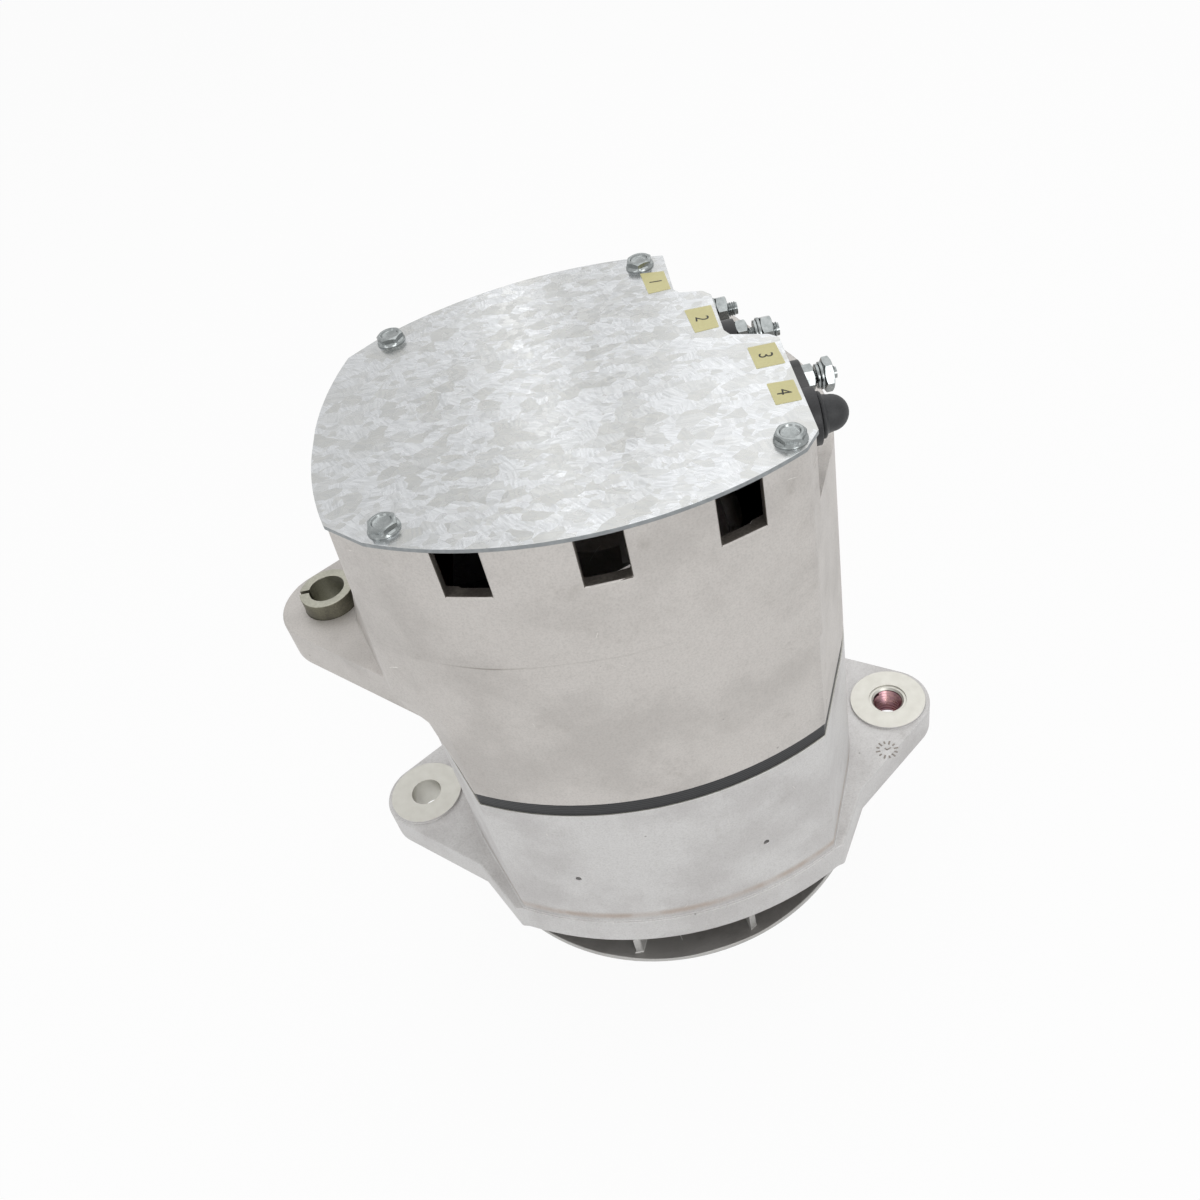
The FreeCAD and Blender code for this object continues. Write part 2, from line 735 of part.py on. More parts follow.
def cover_outline(inset):
    """The compartment's outline under the cover."""
    inset = Size.of(inset)
    corner = (-73.5 + inset, -55.0 + inset * 0.4)
    side = (-80.0 + inset, Size.of(-9.0))
    back = (-71.5 + inset, 34.3 - inset * 0.5)
    return compartment_outline(inset, corner, side, back, size("wall_curve"))


def rear_end_frame():
    """Cast rear frame: stator register, bulkhead, rear hinge lug, ledge and compartment."""
    body = new_body("rear_end_frame")
    corner_x, side_x = size("corner_x"), size("side_x")
    step = ((-(corner_x + 13.5), Size.of(-54.3)), (-(side_x + 1.0), Size.of(-9.0)),
            (-(corner_x + 11.8), Size.of(36.0)))
    loft(body, [
        (REAR_BOTTOM, rear_section((-(corner_x + 5.0), Size.of(-54.3)), (-side_x, Size.of(0.0)),
                                   (-(corner_x + 5.0), Size.of(54.3)))),
        (REAR_LUG_BOTTOM, rear_section((-(corner_x + 8.0), Size.of(-55.0)), (-(side_x + 4.0), Size.of(-6.0)),
                                       (-(corner_x + 8.0), Size.of(48.0)))),
        (REAR_LUG_TOP, rear_section((-(corner_x + 15.5), Size.of(-54.0)), (-(side_x + 9.5), Size.of(-9.0)),
                                    (-(corner_x + 14.5), Size.of(38.0)))),
        (LEDGE_TOP, rear_section(*step)),
    ])
    loft(body, [
        (LEDGE_TOP, compartment_outline(0.0, *step, size("facet_curve"))),
        (REAR_TOP, cover_outline(0.0)),
    ])

    tip = size("rear_lug_tip")
    lug = new_sketch(body, "XY_Plane", REAR_LUG_BOTTOM)
    draw_outline(lug, [
        (-(HINGE_REACH + tip * sine(42.0)), -(tip * cosine(42.0)), 0),
        (-(corner_x + 10.5), Size.of(-52.0), 0),
        (-(corner_x - 2.0), Size.of(0.0), 0),
        (-(corner_x + 18.0), Size.of(37.0), 0),
        (-(HINGE_REACH + tip * cosine(57.0)), tip * sine(57.0), tip),
    ])
    pad(body, lug, size("rear_lug_thick"))

    cavity = size("stack_radius") - 2.0
    register = size("stack_radius") + size("press_gap")
    inside = new_sketch(body, "XZ_Plane")
    draw_outline(inside, [(radius, height, 0) for radius, height in [
        (0, REAR_BOTTOM - 1.0),
        (register, REAR_BOTTOM - 1.0),
        (register, STACK_TOP),
        (cavity, STACK_TOP),
        (cavity, BULKHEAD_BOTTOM),
        (0, BULKHEAD_BOTTOM),
    ]])
    turn(body, inside, "PartDesign::Groove")

    lower_room = new_sketch(body, "XY_Plane", BULKHEAD_TOP)
    draw_outline(lower_room, housing_outline(size("wall")))
    pocket(body, lower_room, LEDGE_TOP - size("ledge_thick") - BULKHEAD_TOP, True)
    upper_room = new_sketch(body, "XY_Plane", REAR_TOP)
    draw_outline(upper_room, cover_outline(size("wall")))
    pocket(body, upper_room, REAR_TOP - BULKHEAD_TOP, False)

    hub = new_sketch(body, "XY_Plane", BULKHEAD_BOTTOM)
    draw_circle(hub, 0, 0, size("rear_bearing_outer") + 7.0)
    pad(body, hub, REAR_BEARING_TOP + 7.0 - BULKHEAD_BOTTOM)
    posts = new_sketch(body, "XY_Plane", BULKHEAD_BOTTOM)
    for x, y in POSTS:
        draw_circle(posts, x, y, size("post_radius"))
    pad(body, posts, POST_TOP - BULKHEAD_BOTTOM)
    bosses = new_sketch(body, "XY_Plane", BULKHEAD_BOTTOM)
    for x, y in COVER_SCREWS:
        draw_circle(bosses, x, y, size("boss_radius"))
    pad(body, bosses, REAR_TOP - BULKHEAD_BOTTOM)

    seat = size("rear_bearing_outer")
    bearing_room = new_sketch(body, "XZ_Plane")
    draw_outline(bearing_room, [(radius, height, 0) for radius, height in [
        (0, BULKHEAD_BOTTOM - 1.0),
        (seat, BULKHEAD_BOTTOM - 1.0),
        (seat, REAR_BEARING_TOP),
        (seat - 5.0, REAR_BEARING_TOP),
        (seat - 5.0, REAR_BEARING_TOP + 4.0),
        (0, REAR_BEARING_TOP + 4.0),
    ]])
    turn(body, bearing_room, "PartDesign::Groove")

    inlet = new_sketch(body, "XY_Plane", BULKHEAD_BOTTOM - 1.0)
    draw_outline(inlet, sector(Size.of(50.0), size("stack_radius") - 9.0, 15.0))
    opening = pocket(body, inlet, size("bulkhead_thick") + 2.0, True)
    repeat(body, opening, inlet, 6)

    screw_holes = new_sketch(body, "XY_Plane", REAR_TOP + 1.0)
    for x, y in COVER_SCREWS:
        draw_circle(screw_holes, x, y, size("cover_screw") + size("screw_gap"))
    pocket(body, screw_holes, size("cover_screw_length") + 3.0, False)
    post_holes = new_sketch(body, "XY_Plane", POST_TOP + 1.0)
    for x, y in POSTS:
        draw_circle(post_holes, x, y, size("small_screw") + size("screw_gap"))
    pocket(body, post_holes, 12.0, False)
    support_holes = new_sketch(body, "XY_Plane", BULKHEAD_BOTTOM - 1.0)
    for index in range(4):
        x, y = around(size("core_radius") + 15.5, index, 4, 0.0)
        draw_circle(support_holes, x, y, size("small_screw") + size("screw_gap"))
    pocket(body, support_holes, size("bulkhead_thick"), True)
    bolt_holes = new_sketch(body, "XY_Plane", REAR_BOTTOM - 1.0)
    for x, y in through_bolt_places():
        draw_circle(bolt_holes, x, y, size("through_bolt") + size("screw_gap"))
    pocket(body, bolt_holes, 22.0, True)
    lug_hole = new_sketch(body, "XY_Plane", REAR_LUG_BOTTOM - 1.0)
    draw_circle(lug_hole, -HINGE_REACH, 0, size("bushing_radius") + size("slide_gap"))
    pocket(body, lug_hole, size("rear_lug_thick") + 2.0, True)

    sill = REAR_TOP - size("window_height")
    half = size("window_width") / 2
    pitch, shift = size("window_pitch"), size("window_shift")
    front = new_sketch(body, "XZ_Plane", 55.0)
    back = new_sketch(body, "XZ_Plane", -44.0)
    for index in (-1, 0, 1):
        middle = shift + pitch * index
        draw_outline(front, rectangle(middle - half, sill, middle + half, REAR_TOP + 1.0))
    for index in (-1, 0):
        middle = shift + pitch * index
        draw_outline(back, rectangle(middle - half, sill, middle + half, REAR_TOP + 1.0))
    pocket(body, front, size("half_depth") - 50.0, True)
    pocket(body, back, size("back_depth") - 40.0, False)
    left = new_sketch(body, "YZ_Plane", -66.0)
    for middle in (-30.0, -30.0 + pitch):
        draw_outline(left, rectangle(middle - half, sill, middle + half, REAR_TOP + 1.0))
    pocket(body, left, 30.0, False)

    terminals = new_sketch(body, "YZ_Plane", 30.0)
    gap = size("screw_gap")
    draw_circle(terminals, size("positive_y"), POSITIVE_HEIGHT, size("power_stud") + 2.0 + gap)
    draw_circle(terminals, size("negative_y"), NEGATIVE_HEIGHT, size("power_stud") + 2.0 + gap)
    draw_circle(terminals, size("first_signal_y"), SIGNAL_HEIGHT, size("signal_stud") + gap)
    draw_circle(terminals, size("second_signal_y"), SIGNAL_HEIGHT, size("signal_stud") + gap)
    pocket(body, terminals, 45.0, True)
    return finish(body, "rear_end_frame")


def stator_core():
    """Lamination stack with a wider band in the middle, clamped between the frames."""
    body = new_body("stator_core")
    band = new_sketch(body, "XY_Plane", SKIRT_TOP)
    draw_outline(band, housing_outline(size("band_inset")))
    pad(body, band, size("band_height"))
    stack = new_sketch(body, "XY_Plane", STACK_BOTTOM)
    draw_circle(stack, 0, 0, size("stack_radius"))
    pad(body, stack, size("stack_length"))
    bore = new_sketch(body, "XY_Plane", STACK_BOTTOM - 1.0)
    draw_circle(bore, 0, 0, size("stator_bore"))
    pocket(body, bore, size("stack_length") + 2.0, True)
    bolts = new_sketch(body, "XY_Plane", STACK_BOTTOM - 1.0)
    for x, y in through_bolt_places():
        draw_circle(bolts, x, y, size("through_bolt") + size("screw_gap"))
    pocket(body, bolts, size("stack_length") + 2.0, True)
    slot = new_sketch(body, "XY_Plane", STACK_BOTTOM - 1.0)
    half = size("slot_width") / 2
    draw_outline(slot, rectangle(size("stator_bore") - 2.0, -half,
                                 size("stator_bore") + size("slot_depth"), half))
    cutting = pocket(body, slot, size("stack_length") + 2.0, True)
    repeat(body, cutting, slot, size("slot_count"))
    return finish(body, "stator_core")


def stator_windings():
    """Copper coils: a conductor bundle in every slot and an end-turn crown at each end."""
    body = new_body("stator_windings")
    inner, outer = size("crown_inner"), size("crown_outer")
    low = STACK_BOTTOM - size("crown_height")
    high = STACK_TOP + size("crown_height")
    for bottom, top in ((low, STACK_BOTTOM - 0.5), (STACK_TOP + 0.5, high)):
        crown = new_sketch(body, "XZ_Plane")
        draw_outline(crown, [
            (inner, bottom + 2.0, 0),
            (inner + 2.0, bottom, 0),
            (outer - 2.0, bottom, 0),
            (outer, bottom + 2.0, 0),
            (outer, top - 2.0, 0),
            (outer - 2.0, top, 0),
            (inner + 2.0, top, 0),
            (inner, top - 2.0, 0),
        ])
        if bottom is low:
            turn(body, crown)
            bundle = new_sketch(body, "XY_Plane", low + 2.5)
            half = size("slot_width") / 2 - 0.4
            draw_outline(bundle, rectangle(inner + 0.5, -half,
                                           size("stator_bore") + size("slot_depth") - 0.4, half))
            bar = pad(body, bundle, high - low - 5.0)
            repeat(body, bar, bundle, size("slot_count"))
        else:
            turn(body, crown)
    return finish(body, "stator_windings")


def rear_cover():
    """Galvanised sheet cover, cut in steps beside the terminals."""
    body = new_body("rear_cover")
    sheet_face = new_sketch(body, "XY_Plane", REAR_TOP)
    draw_outline(sheet_face, cover_outline(-size("cover_overhang")))
    for x, y in COVER_SCREWS:
        draw_circle(sheet_face, x, y, size("cover_screw") + size("screw_gap"))
    pad(body, sheet_face, size("cover_thick"))
    return finish(body, "rear_cover")


def cover_screws():
    screws = []
    for x, y in COVER_SCREWS:
        shank = cylinder(size("cover_screw"), size("cover_screw_length") + size("cover_thick"),
                         (x, y, REAR_TOP - size("cover_screw_length")))
        washer = cylinder(size("screw_washer"), size("washer_face"), (x, y, COVER_TOP))
        head = hexagon(size("screw_flats"), size("screw_head"), (x, y, COVER_TOP))
        screws.append(join(shank, washer, head))
    group("cover_screws", screws)


def through_bolts():
    top = STACK_TOP - 3.0
    sink = PLATE_BOTTOM + size("through_bolt_sink")
    bolts = []
    for x, y in through_bolt_places():
        shank = cylinder(size("through_bolt"), top - sink, (x, y, sink))
        head = hexagon(size("through_bolt_flats"), 4.5, (x, y, sink - 4.5))
        bolts.append(join(shank, head))
    group("through_bolts", bolts)


def hinge_bushing():
    """Split steel bushing that slides in the rear lug to take up the bracket's width."""
    length = size("bushing_length")
    slit = size("bushing_slit")
    ring = tube(size("bushing_radius"), size("hinge_bore"), length, (-HINGE_REACH, 0, BUSHING_BOTTOM))
    outside = -(HINGE_REACH + size("bushing_radius") + 1.0)
    gap = box((outside, -(slit / 2), BUSHING_BOTTOM), (-HINGE_REACH, slit / 2, BUSHING_BOTTOM + length))
    finish(cut(ring, gap), "hinge_bushing")


def ear_thread_insert():
    length = LUG_FACE - PLATE_BOTTOM
    finish(tube(size("insert_radius"), size("thread_bore"), length - 0.6,
                (HINGE_REACH, 0, PLATE_BOTTOM)), "ear_thread_insert")


def bearing(prefix, inner, outer, bottom, width, pitch, ball_radius):
    """Sealed ball bearing: two rings, balls in a cage and two seals."""
    middle = bottom + width / 2
    groove = ball_radius + size("ball_gap")
    race = ball_radius * 0.55
    gap = size("press_gap")
    reach = root(groove * groove - race * race)

    def ring(name, plain, grooved):
        """The plain side meets shaft or housing, the grooved side holds the balls."""
        body = new_body(name)
        sketch = new_sketch(body, "XZ_Plane")
        if plain.value < grooved.value:
            draw_outline(sketch, [
                (plain, bottom, 0), (grooved, bottom, 0), (grooved, middle - reach, -groove),
                (grooved, middle + reach, 0), (grooved, bottom + width, 0), (plain, bottom + width, 0)])
        else:
            draw_outline(sketch, [
                (grooved, bottom, 0), (plain, bottom, 0), (plain, bottom + width, 0),
                (grooved, bottom + width, 0), (grooved, middle + reach, -groove),
                (grooved, middle - reach, 0)])
        turn(body, sketch)
        return finish(body, name)

    ring(prefix + "_bearing_inner_ring", inner + gap, pitch - race)
    ring(prefix + "_bearing_outer_ring", outer - gap, pitch + race)
    balls = []
    for index in range(count("ball_count")):
        x, y = around(pitch, index, count("ball_count"))
        balls.append(ball(ball_radius, (x, y, middle)))
    group(prefix + "_bearing_balls", balls)

    cage = new_body(prefix + "_bearing_cage")
    profile = new_sketch(cage, "XZ_Plane")
    half_height = ball_radius + 1.2
    half_wall = race - size("free_gap")
    draw_outline(profile, rectangle(pitch - half_wall, middle - half_height,
                                    pitch + half_wall, middle + half_height))
    turn(cage, profile)
    pocket_ring = new_sketch(cage, "XY_Plane", middle - ball_radius - size("ball_gap"))
    draw_circle(pocket_ring, pitch, 0, ball_radius + size("ball_gap"))
    opening = pocket(cage, pocket_ring, half_height * 2, True)
    repeat(cage, opening, pocket_ring, size("ball_count"))
    finish(cage, prefix + "_bearing_cage")

    seal_thick = 0.8
    seals = []
    for height in (bottom + 0.3, bottom + width - 0.3 - seal_thick):
        seals.append(tube(pitch + race - gap, pitch - race + size("free_gap"), seal_thick, (0, 0, height)))
    group(prefix + "_bearing_seals", seals)


def bearing_retainer():
    """Steel ring that holds the front bearing in its hub, with four screws."""
    radius = size("front_bearing_outer") + 6.0
    body = new_body("bearing_retainer")
    face = new_sketch(body, "XY_Plane", FRONT_BEARING_TOP)
    draw_circle(face, 0, 0, radius + 4.5)
    draw_circle(face, 0, 0, size("front_bearing_outer") - 5.5)
    for index in range(4):
        x, y = around(radius, index, 4, 45.0)
        draw_circle(face, x, y, size("small_screw") + size("screw_gap"))
    pad(body, face, 2.5)
    finish(body, "bearing_retainer")
    screws = []
    for index in range(4):
        x, y = around(radius, index, 4, 45.0)
        screws.append(small_screw(x, y, FRONT_BEARING_TOP + 2.5, 10.0))
    group("retainer_screws", screws)


def small_screw(x, y, seat, length, upwards=False):
    """A machine screw whose head seats at one height, head up or head down."""
    head = size("small_head_height")
    if upwards:
        shank = cylinder(size("small_screw"), length, (x, y, seat))
        top = cylinder(size("small_head"), head, (x, y, seat - head))
    else:
        shank = cylinder(size("small_screw"), length, (x, y, seat - length))
        top = cylinder(size("small_head"), head, (x, y, seat))
    return join(shank, top)


def rotor_shaft():
    """Stepped shaft, from its threaded pulley end to the rear bearing."""
    seat_end = -size("pulley_seat_length")
    thread_end = seat_end - size("thread_length")
    thread = size("thread_radius")
    body = new_body("rotor_shaft")
    profile = new_sketch(body, "XZ_Plane")
    draw_outline(profile, [(radius, height, 0) for radius, height in [
        (0, thread_end),
        (thread - 1.2, thread_end),
        (thread, thread_end + 1.2),
        (thread, seat_end - 2.0),
        (thread - 1.0, seat_end - 2.0),
        (thread - 1.0, seat_end),
        (size("pulley_seat"), seat_end),
        (size("pulley_seat"), Size.of(1.0)),
        (size("fan_seat"), Size.of(1.0)),
        (size("fan_seat"), FRONT_BEARING_TOP),
        (size("shaft_shoulder"), FRONT_BEARING_TOP),
        (size("shaft_shoulder"), POLE_BOTTOM),
        (size("rotor_seat"), POLE_BOTTOM),
        (size("rotor_seat"), REAR_POLE_TOP),
        (size("rear_seat") + 2.0, REAR_POLE_TOP),
        (size("rear_seat") + 2.0, REAR_BEARING_BOTTOM),
        (size("rear_seat"), REAR_BEARING_BOTTOM),
        (size("rear_seat"), REAR_BEARING_TOP + 1.0),
        (size("rear_seat") - 1.0, REAR_BEARING_TOP + 2.0),
        (0, REAR_BEARING_TOP + 2.0),
    ]])
    turn(body, profile)
    key_seat = new_sketch(body, "XZ_Plane", size("fan_seat") + 1.0)
    draw_outline(key_seat, rectangle(-2.5, 2.5, 2.5, size("fan_hub_height") - 1.5))
    pocket(body, key_seat, 4.0, False)
    return finish(body, "rotor_shaft")


def fan_key():
    """Parallel key between the shaft and the fan hub, on the front side."""
    gap = size("press_gap")
    finish(box((-2.5 + gap, -(size("fan_seat") + 2.0), 2.5 + gap),
               (2.5 - gap, -(size("fan_seat") - 3.0 + gap), size("fan_hub_height") - 1.5 - gap)), "fan_key")


def fan():
    """Cast fan: a disc and hub with straight blades that stand up towards the frame."""
    body = new_body("fan")
    disc_bottom = size("fan_disc_bottom")
    disc_top = disc_bottom + size("fan_disc_thick")
    hub = size("fan_hub_radius")
    bore = size("fan_seat") + size("press_gap")
    rim = size("fan_radius")
    profile = new_sketch(body, "XZ_Plane")
    draw_outline(profile, [(radius, height, 0) for radius, height in [
        (bore, 0.0),
        (hub, 0.0),
        (hub + 2.0, disc_bottom),
        (rim, disc_bottom),
        (rim, disc_top),
        (hub + 5.0, disc_top),
        (hub, disc_top + 5.0),
        (hub - 1.0, size("fan_hub_height")),
        (bore, size("fan_hub_height")),
    ]])
    turn(body, profile)
    blade_top = PLATE_BOTTOM - size("blade_gap")
    half = size("blade_thick") / 2
    blade = new_sketch(body, "XY_Plane", disc_top - 0.5)
    draw_outline(blade, [
        (-(size("blade_outer") * sine(15.0)) - half, -(size("blade_outer") * cosine(15.0)), 0),
        (-(size("blade_outer") * sine(15.0)) + half, -(size("blade_outer") * cosine(15.0)), 0),
        (-(size("blade_inner") * sine(10.0)) + half, -(size("blade_inner") * cosine(10.0)), 0),
        (-(size("blade_inner") * sine(10.0)) - half, -(size("blade_inner") * cosine(10.0)), 0),
    ])
    standing = pad(body, blade, blade_top - disc_top + 0.5)
    repeat(body, standing, blade, size("blade_count"))
    key_way = new_sketch(body, "XY_Plane", -1.0)
    draw_outline(key_way, rectangle(-2.5, -(size("fan_seat") + 2.3), 2.5, -(size("fan_seat") - 2.0)))
    pocket(body, key_way, size("fan_hub_height") + 2.0, True)
    return finish(body, "fan")


def fan_spacer():
    finish(tube(size("fan_seat") + 4.5, size("fan_seat") + size("press_gap"),
                FRONT_BEARING_BOTTOM - size("fan_hub_height"), (0, 0, size("fan_hub_height"))), "fan_spacer")


def claw_pole(name, plate_bottom, bore, root_height, tip_height, turned):
    """One half of the claw rotor: a plate with tapering claws along its rim."""
    body = new_body(name)
    plate = new_sketch(body, "XY_Plane", plate_bottom)
    draw_circle(plate, 0, 0, ROTOR_RADIUS)
    draw_circle(plate, 0, 0, bore)
    pad(body, plate, size("pole_thick"))
    inner = ROTOR_RADIUS - size("claw_thick")
    sketches = []
    for height, half_angle in ((root_height, 13.0), (tip_height, 6.0)):
        section = new_sketch(body, "XY_Plane", height)
        draw_outline(section, claw_section(inner, ROTOR_RADIUS, half_angle, turned))
        sketches.append(section)
    claw = body.newObject("PartDesign::AdditiveLoft", "Claw")
    claw.Profile = sketches[0]
    claw.Sections = sketches[1:]
    claw.Ruled = True
    repeat(body, claw, sketches[0], size("claw_count"))
    return finish(body, name)


def claw_section(inner, outer, half_angle, turned):
    low, high = turned - half_angle, turned + half_angle
    return [
        (inner * cosine(low), inner * sine(low), 0),
        (outer * cosine(low), outer * sine(low), outer),
        (outer * cosine(high), outer * sine(high), 0),
        (inner * cosine(high), inner * sine(high), -inner),
    ]


def rotor():
    """Claw-pole rotor that turns round the fixed field coil."""
    gap = size("press_gap")
    seat = size("rotor_seat") + gap
    support_outer = size("core_radius") + size("core_gap") + size("support_wall")
    claw_pole("front_pole", POLE_BOTTOM, seat, CORE_BOTTOM, REAR_POLE_BOTTOM - size("claw_end_gap"), 0.0)
    claw_pole("rear_pole", REAR_POLE_BOTTOM, support_outer + size("core_gap"), REAR_POLE_BOTTOM,
              CORE_BOTTOM + size("claw_end_gap"), 30.0)
    inner = ROTOR_RADIUS - size("claw_thick")
    middle = (CORE_BOTTOM + REAR_POLE_BOTTOM) / 2
    finish(tube(inner - 0.12, inner - 3.2, 10.0, (0, 0, middle - 5.0)), "pole_joining_ring")
    finish(tube(size("core_radius"), seat, REAR_POLE_TOP - CORE_BOTTOM - gap, (0, 0, CORE_BOTTOM + gap)),
           "rotor_core_sleeve")


def field_coil():
    """Fixed field winding on its bobbin, carried by a steel tube from the bulkhead."""
    tube_inner = size("core_radius") + size("core_gap")
    tube_outer = tube_inner + size("support_wall")
    bottom = CORE_BOTTOM + 5.0
    flange_bottom = BULKHEAD_BOTTOM - 5.0
    turned_piece("coil_support", [
        (tube_inner, bottom),
        (tube_outer, bottom),
        (tube_outer, flange_bottom),
        (tube_outer + 12.0, flange_bottom),
        (tube_outer + 12.0, BULKHEAD_BOTTOM),
        (tube_inner, BULKHEAD_BOTTOM),
    ])
    wall = size("bobbin_wall")
    rim = size("bobbin_radius")
    low, high = bottom + 1.0, REAR_POLE_BOTTOM - 6.0
    core = tube_outer + size("press_gap")
    turned_piece("coil_bobbin", [
        (core, low), (rim, low), (rim, low + wall), (core + wall, low + wall),
        (core + wall, high - wall), (rim, high - wall), (rim, high), (core, high),
    ])
    coil_bottom = low + wall + size("press_gap")
    finish(tube(rim - 1.0, core + wall + size("press_gap"), high - wall - size("press_gap") - coil_bottom,
                (0, 0, coil_bottom)), "field_coil")
    screws = []
    for index in range(4):
        x, y = around(size("core_radius") + 15.5, index, 4, 0.0)
        screws.append(small_screw(x, y, flange_bottom, 9.5, upwards=True))
    support = pieces[-3]
    holes = new_sketch(support, "XY_Plane", flange_bottom - 1.0)
    for index in range(4):
        x, y = around(size("core_radius") + 15.5, index, 4, 0.0)
        draw_circle(holes, x, y, size("small_screw") + size("screw_gap"))
    pocket(support, holes, 8.0, True)
    group("coil_support_screws", screws)


# Electrical parts of the rear compartment


def heat_sink(name, low, high, diodes, posts, fins):
    """Aluminium plate with press-in diode bores, screw holes and upright fins."""
    body = new_body(name)
    plate = new_sketch(body, "XY_Plane", SINK_BOTTOM)
    draw_outline(plate, rectangle(low[0], low[1], high[0], high[1]))
    for x, y in diodes:
        draw_circle(plate, x, y, size("diode_radius") + size("press_gap"))
    for x, y in posts:
        draw_circle(plate, x, y, size("small_screw") + size("screw_gap"))
    pad(body, plate, size("sink_thick"))
    rows = new_sketch(body, "XY_Plane", SINK_TOP - 0.5)
    for fin_low, fin_high in fins:
        draw_outline(rows, rectangle(fin_low[0], fin_low[1], fin_high[0], fin_high[1]))
    pad(body, rows, size("fin_height") + 0.5)
    return finish(body, name)


def diodes(name, places):
    solids = []
    for x, y in places:
        can = cylinder(size("diode_radius"), size("diode_height"), (x, y, SINK_BOTTOM - 2.0))
        lead = cylinder(size("diode_lead"), size("lead_length"), (x, y, SINK_BOTTOM - 2.0 + size("diode_height")))
        solids.append(join(can, lead))
    group(name, solids)


LEAD_TOP = SINK_BOTTOM - 2.0 + size("diode_height") + size("lead_length")


def rectifier():
    thick = size("fin_thick")
    positive_fins = [((x, -46.0), (x + thick, 16.0)) for x in (8.0, 11.5, 28.5, 40.5)]
    heat_sink("positive_heat_sink", (6.0, -48.0), (44.0, 26.0), POSITIVE_DIODES, POSITIVE_POSTS, positive_fins)
    negative_fins = [((-60.0, y), (-2.0, y + thick)) for y in (-9.0, -5.5)]
    heat_sink("negative_heat_sink", (-61.0, -11.0), (0.0, 31.0), NEGATIVE_DIODES, NEGATIVE_POSTS,
              negative_fins)
    diodes("positive_diodes", POSITIVE_DIODES)
    diodes("negative_diodes", NEGATIVE_DIODES)
    washers = []
    for x, y in POSTS:
        washers.append(tube(size("post_radius"), size("small_screw") + size("screw_gap"),
                            size("washer_mica"), (x, y, POST_TOP)))
    group("insulating_washers", washers)
    screws = []
    for x, y in POSITIVE_POSTS + NEGATIVE_POSTS:
        screws.append(small_screw(x, y, SINK_TOP, size("sink_thick") + 10.0))
    group("heat_sink_screws", screws)


def phase_straps():
    """Three copper straps from the end turns up through the bulkhead and across the diodes."""
    thick = size("strap_thick")
    half = size("strap_width") / 2
    start = STACK_TOP + size("crown_height")
    top = LEAD_TOP + thick

    def across(low, high):
        return box((low[0], low[1], LEAD_TOP), (high[0], high[1], top))

    def riser(edge, y):
        return box((edge, y - half, start), (edge + thick, y + half, top))

    first = join(riser(Size.of(62.0), 10.0), across((-12.5, 10.0 - half), (62.0 + thick, 10.0 + half)))
    second = join(riser(Size.of(62.0), -11.0), across((18.5, -11.0 - half), (62.0 + thick, -11.0 + half)),
                  across((18.5, -11.0 - half), (23.5, Size.of(-3.0))), across((-34.5, -8.0), (23.5, -3.0)),
                  across((-34.5, -8.0), (-29.5, 6.5)))
    third = join(riser(Size.of(-64.6), 8.0), across((-64.6, 8.0 - half), (-51.5, 8.0 + half)),
                 across((-56.5, -21.0), (-51.5, 8.0 + half)), across((-56.5, -21.0), (23.5, -16.0)),
                 across((18.5, -38.5), (23.5, -16.0)))
    group("phase_straps", [first, second, third])


def regulator():
    """Potted voltage regulator on two posts."""
    height = size("regulator_height")
    body = new_body("voltage_regulator")
    foot = new_sketch(body, "XY_Plane", SINK_BOTTOM)
    draw_outline(foot, [
        (-46.0, -29.0, 0), (-46.0, -62.0, 0), (-8.0, -62.0, 0), (-8.0, -51.0, 0), (-12.0, -29.0, 0)])
    for x, y in REGULATOR_POSTS:
        draw_circle(foot, x, y, size("small_screw") + size("screw_gap"))
    pad(body, foot, 3.0)
    block = new_sketch(body, "XY_Plane", SINK_BOTTOM)
    draw_outline(block, [
        (-44.0, -44.0, 0), (-44.0, -60.0, 0), (-22.0, -60.0, 0), (-13.0, -49.0, 0), (-13.0, -31.0, 0),
        (-30.0, -31.0, 0)])
    pad(body, block, height)
    finish(body, "voltage_regulator")
    screws = [small_screw(x, y, SINK_BOTTOM + 3.0, 13.0) for x, y in REGULATOR_POSTS]
    group("regulator_screws", screws)


def capacitor():
    """Noise capacitor in a sheet clamp on its own post."""
    radius = size("capacitor_radius")
    length = size("capacitor_length")
    x, y = CAPACITOR_POST
    strap = 1.2
    centre = SINK_BOTTOM + strap + radius + size("press_gap")
    start = x - 12.0
    finish(cylinder(radius, length, (start - length + 8.0, y, centre), "x"), "noise_capacitor")
    foot = cut(box((start - 4.0, y - 6.0, SINK_BOTTOM), (x + 6.0, y + 6.0, SINK_BOTTOM + strap)),
               cylinder(size("small_screw") + size("screw_gap"), strap + 2.0, (x, y, SINK_BOTTOM - 1.0)))
    loop = tube(radius + strap, radius + size("press_gap"), 8.0, (start - 4.0, y, centre), "x")
    finish(join(foot, loop), "capacitor_clamp")
    group("capacitor_screw", [small_screw(x, y, SINK_BOTTOM + strap, 11.0)])


